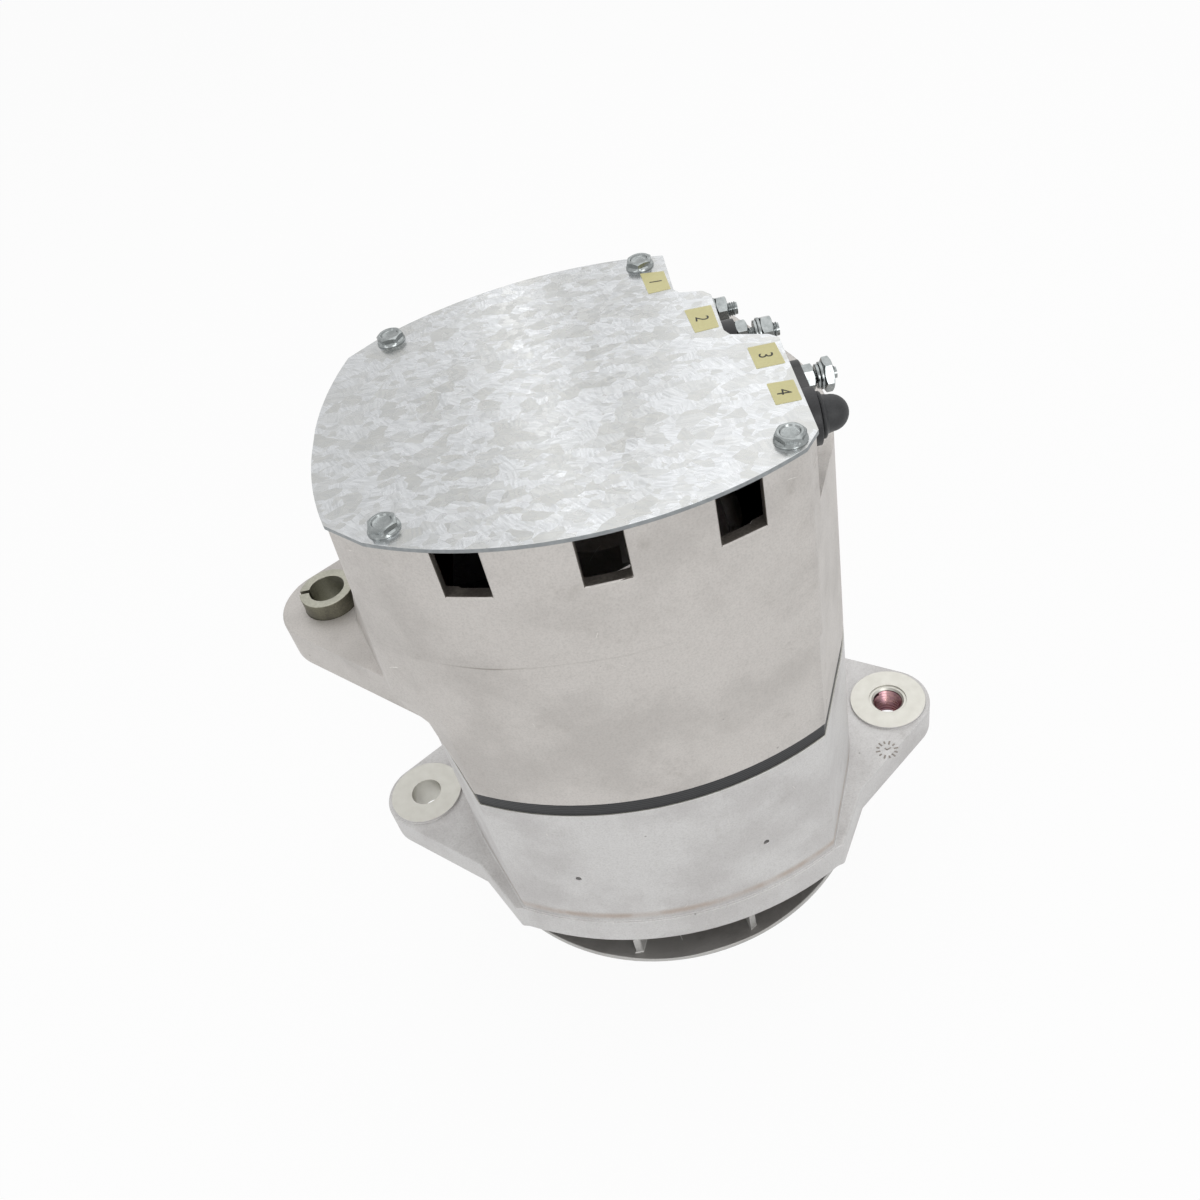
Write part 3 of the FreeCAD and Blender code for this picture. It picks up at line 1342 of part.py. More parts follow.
def terminal_bars():
    """Copper bars from the heat sinks to the two power studs."""
    thick = size("strap_thick")
    hole = size("power_stud") + size("screw_gap")
    y, z = size("positive_y"), POSITIVE_HEIGHT
    foot = box((20.0, 20.0, SINK_TOP), (32.0, y + 4.5, SINK_TOP + thick))
    riser = box((32.0 - thick, y - 4.5, SINK_TOP), (32.0, y + 4.5, z + 6.0))
    clearance = cylinder(hole, 6.0, (28.0, y, z), "x")
    finish(cut(join(foot, riser), clearance), "positive_bar")
    y, z = size("negative_y"), NEGATIVE_HEIGHT
    foot = box((-24.0, y + 3.0, SINK_TOP), (-20.0, y + 11.5, SINK_TOP + thick))
    low_riser = box((-20.0 - thick, y - 5.0, SINK_TOP), (-20.0, y + 11.5, z - 8.0))
    bridge = box((-20.0 - thick, y - 5.0, z - 8.0), (44.0, y + 5.0, z - 8.0 + thick))
    high_riser = box((44.0 - thick, y - 5.0, z - 8.0), (44.0, y + 5.0, z + 5.0))
    clearance = cylinder(hole, 6.0, (40.0, y, z), "x")
    finish(cut(join(foot, low_riser, bridge, high_riser), clearance), "negative_bar")


def power_terminal(prefix, y, z, wall_x, bar_x, nut_x, end_x):
    """A stud through the wall with its insulator, inner nut, washers and outer nut."""
    stud = size("power_stud")
    gap = size("screw_gap")
    thick = size("washer_thick")
    nut = size("power_nut")
    head = hexagon(size("power_flats"), 3.0, (bar_x - 3.0 - size("strap_thick"), y, z), "x")
    shank = cylinder(stud, end_x - bar_x + size("strap_thick"), (bar_x - size("strap_thick"), y, z), "x")
    finish(join(head, shank), prefix + "_stud")
    flange = size("insulator_flange")
    inner_nut = wall_x + flange
    outside = cylinder(stud + 4.0, flange, (wall_x, y, z), "x")
    sleeve = cylinder(stud + 2.0, wall_x - bar_x, (bar_x, y, z), "x")
    finish(cut(join(outside, sleeve), cylinder(stud + gap, 40.0, (bar_x - 5.0, y, z), "x")),
           prefix + "_insulator")

    def hex_nut(start):
        return cut(hexagon(size("power_flats"), nut, (start, y, z), "x"),
                   cylinder(stud + size("press_gap"), nut, (start, y, z), "x"))

    group(prefix + "_nuts", [hex_nut(inner_nut), hex_nut(nut_x)])
    plain = tube(stud + 2.6, stud + gap, thick, (nut_x - thick, y, z), "x")
    lock = tube(stud + 2.0, stud + gap, thick, (nut_x - thick * 2 - size("press_gap"), y, z), "x")
    group(prefix + "_washers", [plain, lock])


def signal_terminals():
    """Two smaller studs in a black block, one bare and one under a rubber cap."""
    z = SIGNAL_HEIGHT
    first, second = size("first_signal_y"), size("second_signal_y")
    wall_x = size("high_step")
    block_end = wall_x + size("block_thick")
    stud, gap = size("signal_stud"), size("screw_gap")
    nut, thick = size("signal_nut"), size("washer_thick")
    block_thick = size("block_thick")
    block = join(box((wall_x, second, z - 5.0), (block_end, first, z + 6.0)),
                 cylinder(size("block_small"), block_thick, (wall_x, first, z), "x"),
                 cylinder(size("block_large"), block_thick, (wall_x, second, z), "x"))
    holes = join(cylinder(stud + gap, block_thick + 4.0, (wall_x - 2.0, first, z), "x"),
                 cylinder(stud + gap, block_thick + 4.0, (wall_x - 2.0, second, z), "x"))
    finish(cut(block, holes), "terminal_block")
    inside = wall_x - size("wall") - size("press_gap")
    studs = []
    for y, end in ((first, block_end + 10.8), (second, block_end + 5.6)):
        head = hexagon(size("signal_base_flats"), 2.5, (inside - 2.5, y, z), "x")
        studs.append(join(head, cylinder(stud, end - inside, (inside, y, z), "x")))
    group("signal_studs", studs)

    def hex_nut(flats, start, y, length):
        return cut(hexagon(flats, length, (start, y, z), "x"),
                   cylinder(stud + size("press_gap"), length, (start, y, z), "x"))

    base_flats = size("signal_base_flats")
    outer_start = block_end + nut + 2 * thick + 0.8
    group("signal_nuts", [hex_nut(base_flats, block_end, first, nut),
                          hex_nut(size("signal_flats"), outer_start, first, size("signal_outer_nut")),
                          hex_nut(base_flats, block_end, second, size("cap_nut"))])
    washers = [tube(stud + 2.2, stud + gap, thick, (outer_start - thick, first, z), "x"),
               tube(stud + 1.7, stud + gap, thick, (outer_start - 2 * thick - 0.1, first, z), "x")]
    group("signal_washers", washers)

    radius = size("cap_radius")
    start = block_end + size("free_gap")
    length = size("cap_length")
    straight = cylinder(radius, length - radius, (start, second, z), "x")
    dome = ball(radius, (start + length - radius, second, z), "x", 0.0)
    flange = cylinder(radius + 1.2, 1.4, (start, second, z), "x")
    room = join(cylinder(base_flats / math.sqrt(3) + size("free_gap"), size("cap_nut") + 1.0,
                         (start - 1.0, second, z), "x"),
                cylinder(stud + size("free_gap"), 6.5, (start - 1.0, second, z), "x"))
    finish(cut(join(straight, dome, flange), room), "terminal_cap")


def build():
    drive_end_frame()
    ear_thread_insert()
    stator_core()
    stator_windings()
    rear_end_frame()
    rear_cover()
    cover_screws()
    through_bolts()
    hinge_bushing()
    bearing("front", size("fan_seat"), size("front_bearing_outer"), FRONT_BEARING_BOTTOM,
            size("front_bearing_width"), size("front_pitch"), size("front_ball"))
    bearing_retainer()
    bearing("rear", size("rear_seat"), size("rear_bearing_outer"), REAR_BEARING_BOTTOM,
            size("rear_bearing_width"), size("rear_pitch"), size("rear_ball"))
    rotor_shaft()
    fan()
    fan_key()
    fan_spacer()
    rotor()
    field_coil()
    rectifier()
    phase_straps()
    regulator()
    capacitor()
    terminal_bars()
    power_terminal("positive", size("positive_y"), POSITIVE_HEIGHT, size("low_step"), Size.of(32.0),
                   size("low_step") + 14.6, size("low_step") + 22.0)
    power_terminal("negative", size("negative_y"), NEGATIVE_HEIGHT, size("middle_step"), Size.of(44.0),
                   size("middle_step") + 13.5, size("middle_step") + 19.6)
    signal_terminals()


def check_and_write():
    document.recompute()
    failed = []
    for item in document.Objects:
        if "Invalid" in item.State or "Error" in item.State:
            owner = item.getParentGeoFeatureGroup()
            failed.append((item.Label, owner.Label if owner else "", item.getStatusString()))
    if failed:
        raise RuntimeError(f"failed: {failed}")
    for piece in pieces:
        shape = piece.Shape
        if shape.isNull() or not shape.isValid() or not shape.Solids:
            raise RuntimeError(f"bad shape: {piece.Label}")
    os.makedirs("parts", exist_ok=True)
    for piece in pieces:
        piece.Shape.exportStep(f"parts/{piece.Label}.step")
        print(piece.Label, len(piece.Shape.Solids), round(piece.Shape.Volume, 1))


build()
check_and_write()
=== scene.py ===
import json
import math

import bmesh
import bpy
import numpy as np
from bpy.props import FloatProperty, FloatVectorProperty, PointerProperty, StringProperty
from bpy.types import Operator, Panel, PropertyGroup
from mathutils import Matrix, Vector
from mathutils.bvhtree import BVHTree
from mathutils.geometry import area_tri


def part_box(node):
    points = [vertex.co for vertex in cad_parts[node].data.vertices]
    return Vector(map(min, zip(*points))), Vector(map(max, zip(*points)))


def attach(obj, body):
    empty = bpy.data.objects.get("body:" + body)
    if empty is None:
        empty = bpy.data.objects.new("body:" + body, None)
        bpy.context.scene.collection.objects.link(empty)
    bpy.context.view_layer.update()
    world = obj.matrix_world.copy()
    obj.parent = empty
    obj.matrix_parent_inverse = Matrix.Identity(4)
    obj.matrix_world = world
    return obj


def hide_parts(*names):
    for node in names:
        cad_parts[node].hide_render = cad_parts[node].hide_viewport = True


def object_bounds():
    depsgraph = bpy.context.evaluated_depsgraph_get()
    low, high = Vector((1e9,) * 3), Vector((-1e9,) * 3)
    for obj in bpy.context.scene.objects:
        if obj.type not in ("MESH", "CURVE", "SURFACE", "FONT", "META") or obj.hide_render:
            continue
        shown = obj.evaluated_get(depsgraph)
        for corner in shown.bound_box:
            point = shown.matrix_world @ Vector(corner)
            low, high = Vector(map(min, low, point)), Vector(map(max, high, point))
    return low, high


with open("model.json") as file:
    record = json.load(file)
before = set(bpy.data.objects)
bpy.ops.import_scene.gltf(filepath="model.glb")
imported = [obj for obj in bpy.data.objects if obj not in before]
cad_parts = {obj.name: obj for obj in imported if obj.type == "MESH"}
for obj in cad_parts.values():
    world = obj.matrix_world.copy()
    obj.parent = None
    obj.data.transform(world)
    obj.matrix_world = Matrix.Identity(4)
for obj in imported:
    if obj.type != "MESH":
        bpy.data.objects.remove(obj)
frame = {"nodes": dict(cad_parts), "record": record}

bl_info = {
    "name": "Heavy-duty alternator",
    "version": (1, 0, 0),
    "blender": (4, 5, 0),
    "location": "3D View > Sidebar > Alternator",
    "description": "Dresses the packed alternator: castings, galvanised cover, fasteners, terminals and stage",
    "category": "Object",
}

nodes = frame["nodes"]
CAD_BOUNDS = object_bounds()
MM = 0.001

# Places on the alternator
REACH = 102.36 * MM  # from the shaft to the hinge bores, and to the bore of the ear
PAD_TOP = 31.0 * MM  # the spot faces of the front lug and the ear
EAR_TOP = 29.8 * MM
BAND_BOTTOM = 100.1 * MM  # the lamination band between the frames
BAND_TOP = 106.6 * MM
COVER_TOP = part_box("rear_cover")[1].z
FACET = 62 * MM  # where the front and back walls meet the side facets
WINDOWS = [(2.35 + 39.35 * index) * MM for index in (-1, 0, 1)]  # middles of the front wall's windows
WINDOW_HALF = 6.75 * MM
WINDOW_SILL = COVER_TOP - 19.1 * MM
# The labels on the cover, each by its corners in mm from the back left round to the front left
LABELS = [[(31.3, 47.5), (39.4, 45.6), (39.9, 33.0), (32.3, 32.8)],
          [(42.0, 17.2), (50.8, 16.9), (50.9, 3.0), (43.1, 2.6)],
          [(56.8, -12.4), (65.3, -12.6), (65.9, -24.6), (57.2, -24.5)],
          [(58.3, -33.3), (66.1, -34.0), (66.2, -44.5), (58.6, -44.4)]]
DIAL_PLACE = (94.7 * MM, -25.4 * MM, EAR_TOP)

# Fasteners, in mm
COVER_SCREW_FLATS = 8.0
LARGE_FLATS = 9.5
SMALL_FLATS = 7.5

# Rounding
BROKEN = math.radians(26)  # corners flatter than this are left alone
SHARE = 0.42  # the part of a face's width that one rounding may take
SMALLEST = 0.04 * MM
SHORT = 0.45 * MM  # edges shorter than this only have their corner broken
FOLD_AREA = 0.005 * MM * MM
CREASE = math.radians(45)  # rounded edges steeper than this are marked sharp
TOUCH = 0.001 * MM  # heights nearer than this count as the same

# Stage
LAMPS = [("overhead_softbox", (0.20, 0.25, 1.30), (0.0, 0.0, 0.12), 1.2, 0.9, None),
         ("front_right_softbox", (0.42, -1.28, 0.75), (0.0, 0.0, 0.10), 0.6, 0.7, 5.0),
         ("front_left_softbox", (-1.00, -0.85, 0.80), (0.0, 0.0, 0.10), 0.6, 0.8, 1.8),
         ("back_right_softbox", (0.50, 0.95, 0.95), (0.0, 0.0, 0.15), 0.9, 0.7, 1.2),
         ("sheen_strip", (-0.085, 0.95, 1.10), (0.0, 0.0, 0.22), 0.05, 1.0, 0.22)]
CAMERA_PLACE = Vector((14.630, -309.527, 416.633)) * MM
CAMERA_RIGHT = Vector((0.97766, -0.10439, -0.18243))
CAMERA_DOWN = Vector((-0.20395, -0.68108, -0.70323))
CAMERA_FORWARD = Vector((-0.05084, 0.72473, -0.68715))
SENSOR = 36.0
LENS = 33.787

# Shader nodes: the inputs of a map range and of a colour mix, and settings that come back
RANGE = ("Value", "From Min", "From Max", "To Min", "To Max")
MIX = (0, 6, 7)
SMOOTH = {"interpolation_type": "SMOOTHSTEP"}
RGBA = {"data_type": "RGBA"}
NOWHERE = 5.0  # a height in metres that no part reaches


# Colours

def linear(hexadecimal):
    """sRGB hex text to the linear colour that the shaders take."""
    digits = hexadecimal.lstrip("#")
    channels = [int(digits[i:i + 2], 16) / 255 for i in (0, 2, 4)]
    return [c / 12.92 if c <= 0.04045 else ((c + 0.055) / 1.055) ** 2.4 for c in channels]


def shade(colour):
    """A full linear colour from hex text or from a colour setting."""
    return (linear(colour) if isinstance(colour, str) else list(colour)) + [1.0]


# Shader building

def add(tree, kind, inputs=(), **settings):
    """Adds one node with its settings. An input is given as a value, as another node's output, or as
    a node, which stands for its first output in use."""
    node = tree.nodes.new(kind)
    for key, value in settings.items():
        setattr(node, key, value)
    for key, value in dict(inputs).items():
        if isinstance(value, bpy.types.Node):
            value = next(output for output in value.outputs if output.enabled)
        if isinstance(value, bpy.types.NodeSocket):
            tree.links.new(value, node.inputs[key])
        else:
            node.inputs[key].default_value = value
    return node


def new_material(name):
    material = bpy.data.materials.new(name)
    material.use_nodes = True
    tree = material.node_tree
    tree.nodes.clear()
    return material, tree, add(tree, "ShaderNodeTexCoord").outputs["Object"]


def close(material, tree, inputs):
    """Ends a material with one Principled shader."""
    surface = add(tree, "ShaderNodeBsdfPrincipled", inputs)
    add(tree, "ShaderNodeOutputMaterial", {"Surface": surface})
    material.diffuse_color = (0.7, 0.7, 0.7, 1.0)
    return material


def cast_aluminium(name, light, dark, stain, shade_line_height=NOWHERE, shade_line_reach=1 * MM, seam_height=NOWHERE):
    """Die-cast aluminium, tumbled and left bare: pale and nearly matt, with a pebbled skin, cloudy
    handling stains, a few dark pits, hairline scratches and the faint line where the die closed."""
    material, tree, place = new_material(name)
    clouds = add(tree, "ShaderNodeTexNoise",
                 {"Vector": place, "Scale": 1 / 0.034, "Detail": 5.0, "Roughness": 0.6})
    cloud = add(tree, "ShaderNodeMapRange", zip(RANGE, (clouds, 0.40, 0.66, 0.0, 1.0)), **SMOOTH)
    skin = add(tree, "ShaderNodeMix", zip(MIX, (cloud, shade(light), shade(dark))), **RGBA)
    smear = add(tree, "ShaderNodeTexNoise",
                {"Vector": place, "Scale": 1 / 0.011, "Detail": 4.0, "Roughness": 0.65})
    stained = add(tree, "ShaderNodeMapRange", zip(RANGE, (smear, 0.60, 0.78, 0.0, 0.30)), **SMOOTH)
    smeared = add(tree, "ShaderNodeMix", zip(MIX, (stained, skin, shade(stain))), **RGBA)
    # Pits under a millimetre wide, about five centimetres apart.
    pits = add(tree, "ShaderNodeTexVoronoi", {"Vector": place, "Scale": 1 / 0.013, "Randomness": 1.0})
    pit = add(tree, "ShaderNodeMapRange", zip(RANGE, (pits, 0.022, 0.040, 0.55, 0.0)), **SMOOTH)
    pitted = add(tree, "ShaderNodeMix", zip(MIX, (pit, smeared, shade("#6f6a66"))), **RGBA)
    # Hairline scratches, seen where a slower pattern lets them through.
    hair = add(tree, "ShaderNodeTexNoise",
               {"Vector": place, "Scale": 1 / 0.03, "Detail": 0.0, "Distortion": 0.4})
    level = add(tree, "ShaderNodeMath", {0: hair, 1: 0.52}, operation="SUBTRACT")
    distance = add(tree, "ShaderNodeMath", {0: level}, operation="ABSOLUTE")
    line = add(tree, "ShaderNodeMapRange", zip(RANGE, (distance, 0.0010, 0.0030, 1.0, 0.0)))
    patch = add(tree, "ShaderNodeMapRange", zip(RANGE, (smear, 0.60, 0.66, 0.0, 0.7)), **SMOOTH)
    scratch = add(tree, "ShaderNodeMath", {0: line, 1: patch}, operation="MULTIPLY")
    scratched = add(tree, "ShaderNodeMix", zip(MIX, (scratch, pitted, shade("#f2f0ec"))), **RGBA)
    parts = add(tree, "ShaderNodeSeparateXYZ", {"Vector": place})
    # Painted shade: a warm brownish darkening, patchy along its length, in the groove over the bottom flange.
    rise = add(tree, "ShaderNodeMath", {0: parts.outputs["Z"], 1: shade_line_height}, operation="SUBTRACT")
    away = add(tree, "ShaderNodeMath", {0: rise}, operation="ABSOLUTE")
    crease_shade = add(tree, "ShaderNodeMapRange", zip(RANGE, (away, 0.0, shade_line_reach, 0.75, 0.0)), **SMOOTH)
    uneven = add(tree, "ShaderNodeMapRange", zip(RANGE, (smear, 0.38, 0.60, 0.55, 1.0)), **SMOOTH)
    patchy_crease_shade = add(tree, "ShaderNodeMath", {0: crease_shade, 1: uneven}, operation="MULTIPLY")
    crease_shaded = add(tree, "ShaderNodeMix", zip(MIX, (patchy_crease_shade, scratched, shade("#b5a497"))), **RGBA)
    # Die line: wanders 2 mm up and down, and is strongest left of the middle.
    wander = add(tree, "ShaderNodeTexNoise", {"Vector": place, "Scale": 1 / 0.05, "Detail": 2.0})
    lift = add(tree, "ShaderNodeMath", {0: wander, 1: 4 * MM, 2: seam_height - 2 * MM},
               operation="MULTIPLY_ADD")
    above = add(tree, "ShaderNodeMath", {0: parts.outputs["Z"], 1: lift}, operation="SUBTRACT")
    near = add(tree, "ShaderNodeMath", {0: above}, operation="ABSOLUTE")
    seam = add(tree, "ShaderNodeMapRange", zip(RANGE, (near, 0.1 * MM, 0.5 * MM, 1.0, 0.0)), **SMOOTH)
    shown = add(tree, "ShaderNodeMapRange", zip(RANGE, (clouds, 0.42, 0.56, 0.15, 0.75)), **SMOOTH)
    offset = add(tree, "ShaderNodeMath", {0: parts.outputs["X"], 1: 18 * MM}, operation="ADD")
    beside = add(tree, "ShaderNodeMath", {0: offset}, operation="ABSOLUTE")
    fading = add(tree, "ShaderNodeMapRange", zip(RANGE, (beside, 22 * MM, 38 * MM, 1.0, 0.12)), **SMOOTH)
    faded = add(tree, "ShaderNodeMath", {0: shown, 1: fading}, operation="MULTIPLY")
    mark = add(tree, "ShaderNodeMath", {0: seam, 1: faded}, operation="MULTIPLY")
    seamed = add(tree, "ShaderNodeMix", zip(MIX, (mark, crease_shaded, shade("#918b84"))), **RGBA)
    # Grain of 0.7 mm, a little coarser than the real skin so that it shows.
    grain = add(tree, "ShaderNodeTexNoise",
                {"Vector": place, "Scale": 1 / 0.0007, "Detail": 3.0, "Roughness": 0.7})
    waves = add(tree, "ShaderNodeTexNoise", {"Vector": place, "Scale": 1 / 0.007, "Detail": 2.0})
    pebbles = add(tree, "ShaderNodeBump", {"Height": grain, "Strength": 0.42, "Distance": 0.24 * MM})
    rolling = add(tree, "ShaderNodeBump",
                  {"Height": waves, "Strength": 0.25, "Distance": 0.6 * MM, "Normal": pebbles})
    gloss = add(tree, "ShaderNodeMapRange", zip(RANGE, (smear, 0.3, 0.7, 0.46, 0.60)))
    speck = add(tree, "ShaderNodeMapRange", zip(RANGE, (grain, 0.42, 0.75, 0.0, 0.30)))
    speckled = add(tree, "ShaderNodeMix", zip(MIX, (speck, seamed, shade("#8e8a86"))), **RGBA)
    return close(material, tree,
                 {"Base Color": speckled, "Metallic": 0.5, "Roughness": gloss, "Normal": rolling})


def machined_aluminium():
    """Spot-faced aluminium: brighter than the cast skin, with fine rings left by the cutter."""
    material, tree, place = new_material("Aluminium spot-faced")
    parts = add(tree, "ShaderNodeSeparateXYZ", {"Vector": place})
    side = add(tree, "ShaderNodeMath", {0: parts.outputs["X"]}, operation="ABSOLUTE")
    from_axis = add(tree, "ShaderNodeMath", {0: side, 1: REACH}, operation="SUBTRACT")
    flat = add(tree, "ShaderNodeCombineXYZ", {"X": from_axis, "Y": parts.outputs["Y"]})
    length = add(tree, "ShaderNodeVectorMath", {0: flat}, operation="LENGTH")
    # Cutter rings 0.45 mm apart round each bolt axis.
    turns = add(tree, "ShaderNodeMath", {0: length, 1: 2 * math.pi / (0.45 * MM)}, operation="MULTIPLY")
    rings = add(tree, "ShaderNodeMath", {0: turns}, operation="SINE")
    wear = add(tree, "ShaderNodeTexNoise", {"Vector": place, "Scale": 1 / 0.004, "Detail": 4.0})
    tone = add(tree, "ShaderNodeMix", zip(MIX, (wear, shade("#d3d2cb"), shade("#bebcb4"))), **RGBA)
    bump = add(tree, "ShaderNodeBump", {"Height": rings, "Strength": 0.12, "Distance": 0.04 * MM})
    return close(material, tree, {"Base Color": tone, "Metallic": 0.8, "Roughness": 0.42, "Normal": bump})


def sheared_edge():
    """The cut edge of the cover: bare grey steel and dragged zinc, without flakes."""
    material, tree, place = new_material("Steel sheet hot-dip galvanised sheared edge")
    noise = add(tree, "ShaderNodeTexNoise", {"Vector": place, "Scale": 1 / 0.002, "Detail": 3.0})
    tone = add(tree, "ShaderNodeMix", zip(MIX, (noise, shade("#a4a8aa"), shade("#74787a"))), **RGBA)
    return close(material, tree, {"Base Color": tone, "Metallic": 0.9, "Roughness": 0.34})


def galvanised_sheet():
    """Hot-dip galvanised steel sheet: bluish bright zinc frozen in flakes of 3 to 8 mm, a little drawn
    out along the rolling direction, some flakes duller and greyer than their neighbours."""
    material, tree, place = new_material("Steel sheet hot-dip galvanised")
    drawn = add(tree, "ShaderNodeMapping",
                {"Vector": place, "Rotation": (0.0, 0.0, math.radians(-8)), "Scale": (0.88, 1.12, 1.0)})
    ragged = add(tree, "ShaderNodeTexNoise",
                 {"Vector": drawn, "Scale": 1 / 0.0028, "Detail": 2.0, "Roughness": 0.5})
    shift = add(tree, "ShaderNodeVectorMath",
                {0: ragged.outputs["Color"], 1: (1.8 * MM, 1.8 * MM, 0.0), 2: drawn},
                operation="MULTIPLY_ADD")
    flakes, chips = [
        add(tree, "ShaderNodeTexVoronoi",
            {"Vector": shift, "Scale": 1 / size, "Smoothness": soft, "Randomness": 1.0},
            feature="SMOOTH_F1") for size, soft in ((0.0052, 0.05), (0.0025, 0.06))]
    flake = add(tree, "ShaderNodeSeparateColor", {"Color": flakes.outputs["Color"]}).outputs
    chip = add(tree, "ShaderNodeSeparateColor", {"Color": chips.outputs["Color"]}).outputs
    dull_flake = add(tree, "ShaderNodeMapRange", zip(RANGE, (flake[0], 0.45, 0.95, 0.0, 0.8)), **SMOOTH)
    dull_chip = add(tree, "ShaderNodeMapRange", zip(RANGE, (chip[0], 0.5, 1.0, 0.0, 0.7)), **SMOOTH)
    grey = add(tree, "ShaderNodeMath", {0: dull_flake, 1: dull_chip}, operation="MAXIMUM")
    # Each flake carries fine dendrite lines of its own slant.
    slant = add(tree, "ShaderNodeMath", {0: flake[1], 1: 1.6}, operation="MULTIPLY")
    turned = add(tree, "ShaderNodeVectorRotate", {"Vector": place, "Angle": slant}, rotation_type="Z_AXIS")
    fine = add(tree, "ShaderNodeMapping", {"Vector": turned, "Scale": (0.25, 1.6, 1.0)})
    lines = add(tree, "ShaderNodeTexNoise", {"Vector": fine, "Scale": 1 / 0.0011, "Detail": 2.0})
    zinc = bpy.context.scene.alternator_cover.zinc
    tone = add(tree, "ShaderNodeMix", zip(MIX, (grey, shade(zinc), shade("#b7b7b3"))), **RGBA)
    streak = add(tree, "ShaderNodeMapRange", zip(RANGE, (lines, 0.35, 0.75, 0.0, 0.75)))
    streaked = add(tree, "ShaderNodeMix", zip(MIX, (streak, tone, shade("#b2b4b5"))), **RGBA)
    gloss = add(tree, "ShaderNodeMapRange", zip(RANGE, (chip[1], 0.0, 1.0, 0.18, 0.32)))
    slope = add(tree, "ShaderNodeBump", {"Height": lines, "Strength": 0.14, "Distance": 0.08 * MM})
    dent = add(tree, "ShaderNodeTexNoise", {"Vector": place, "Scale": 1 / 0.03, "Detail": 1.0})
    buckle = add(tree, "ShaderNodeBump",
                 {"Height": dent, "Strength": 0.15, "Distance": 0.4 * MM, "Normal": slope})
    return close(material, tree,
                 {"Base Color": streaked, "Metallic": 0.88, "Roughness": gloss, "Normal": buckle})


def plated(name, light, dark, roughness, grain):
    """Bright electroplated, ground or turned metal: mirror-like under a thin haze, with tool marks."""
    material, tree, place = new_material(name)
    haze = add(tree, "ShaderNodeTexNoise",
               {"Vector": place, "Scale": 1 / grain, "Detail": 4.0, "Roughness": 0.6})
    tone = add(tree, "ShaderNodeMix", zip(MIX, (haze, shade(light), shade(dark))), **RGBA)
    gloss = add(tree, "ShaderNodeMapRange",
                zip(RANGE, (haze, 0.3, 0.7, roughness - 0.05, roughness + 0.08)))
    bump = add(tree, "ShaderNodeBump", {"Height": haze, "Strength": 0.08, "Distance": 0.1 * MM})
    return close(material, tree, {"Base Color": tone, "Metallic": 1.0, "Roughness": gloss, "Normal": bump})


def layered(name, light, dark, pitch, metallic, roughness, coat):
    """Sheet edges or wire turns stacked along the shaft: fine dark lines, one for each layer."""
    material, tree, place = new_material(name)
    parts = add(tree, "ShaderNodeSeparateXYZ", {"Vector": place})
    turns = add(tree, "ShaderNodeMath", {0: parts.outputs["Z"], 1: 2 * math.pi / pitch},
                operation="MULTIPLY")
    wave = add(tree, "ShaderNodeMath", {0: turns}, operation="SINE")
    uneven = add(tree, "ShaderNodeTexNoise", {"Vector": place, "Scale": 1 / 0.006, "Detail": 3.0})
    band = add(tree, "ShaderNodeMapRange", zip(RANGE, (wave, -1.0, 1.0, 0.0, 0.6)))
    part = add(tree, "ShaderNodeMath", {0: uneven, 1: 0.6, 2: band}, operation="MULTIPLY_ADD")
    tone = add(tree, "ShaderNodeMix", zip(MIX, (part, shade(light), shade(dark))), **RGBA)
    bump = add(tree, "ShaderNodeBump", {"Height": wave, "Strength": 0.3, "Distance": 0.1 * MM})
    return close(material, tree, {"Base Color": tone, "Metallic": metallic, "Roughness": roughness,
                                  "Coat Weight": coat, "Coat Roughness": 0.3, "Normal": bump})


def dull(name, light, dark, metallic, roughness, grain, depth):
    """Moulded rubber or plastic, forged or blacked steel: one colour, fine grain and fingered patches."""
    material, tree, place = new_material(name)
    fine = add(tree, "ShaderNodeTexNoise",
               {"Vector": place, "Scale": 1 / grain, "Detail": 3.0, "Roughness": 0.65})
    slow = add(tree, "ShaderNodeTexNoise", {"Vector": place, "Scale": 1 / 0.009, "Detail": 3.0})
    part = add(tree, "ShaderNodeMath", {0: fine, 1: slow}, operation="MULTIPLY")
    spread = add(tree, "ShaderNodeMapRange", zip(RANGE, (part, 0.12, 0.42, 0.0, 1.0)))
    tone = add(tree, "ShaderNodeMix", zip(MIX, (spread, shade(dark), shade(light))), **RGBA)
    gloss = add(tree, "ShaderNodeMapRange",
                zip(RANGE, (slow, 0.3, 0.7, roughness - 0.06, roughness + 0.08)))
    bump = add(tree, "ShaderNodeBump", {"Height": fine, "Strength": 0.3, "Distance": depth})
    return close(material, tree,
                 {"Base Color": tone, "Metallic": metallic, "Roughness": gloss, "Normal": bump})


MATERIALS = {}


def finish_of(key):
    """Each finish is made once, when a piece first asks for it."""
    if key not in MATERIALS:
        MATERIALS[key] = FINISHES[key]()
    return MATERIALS[key]


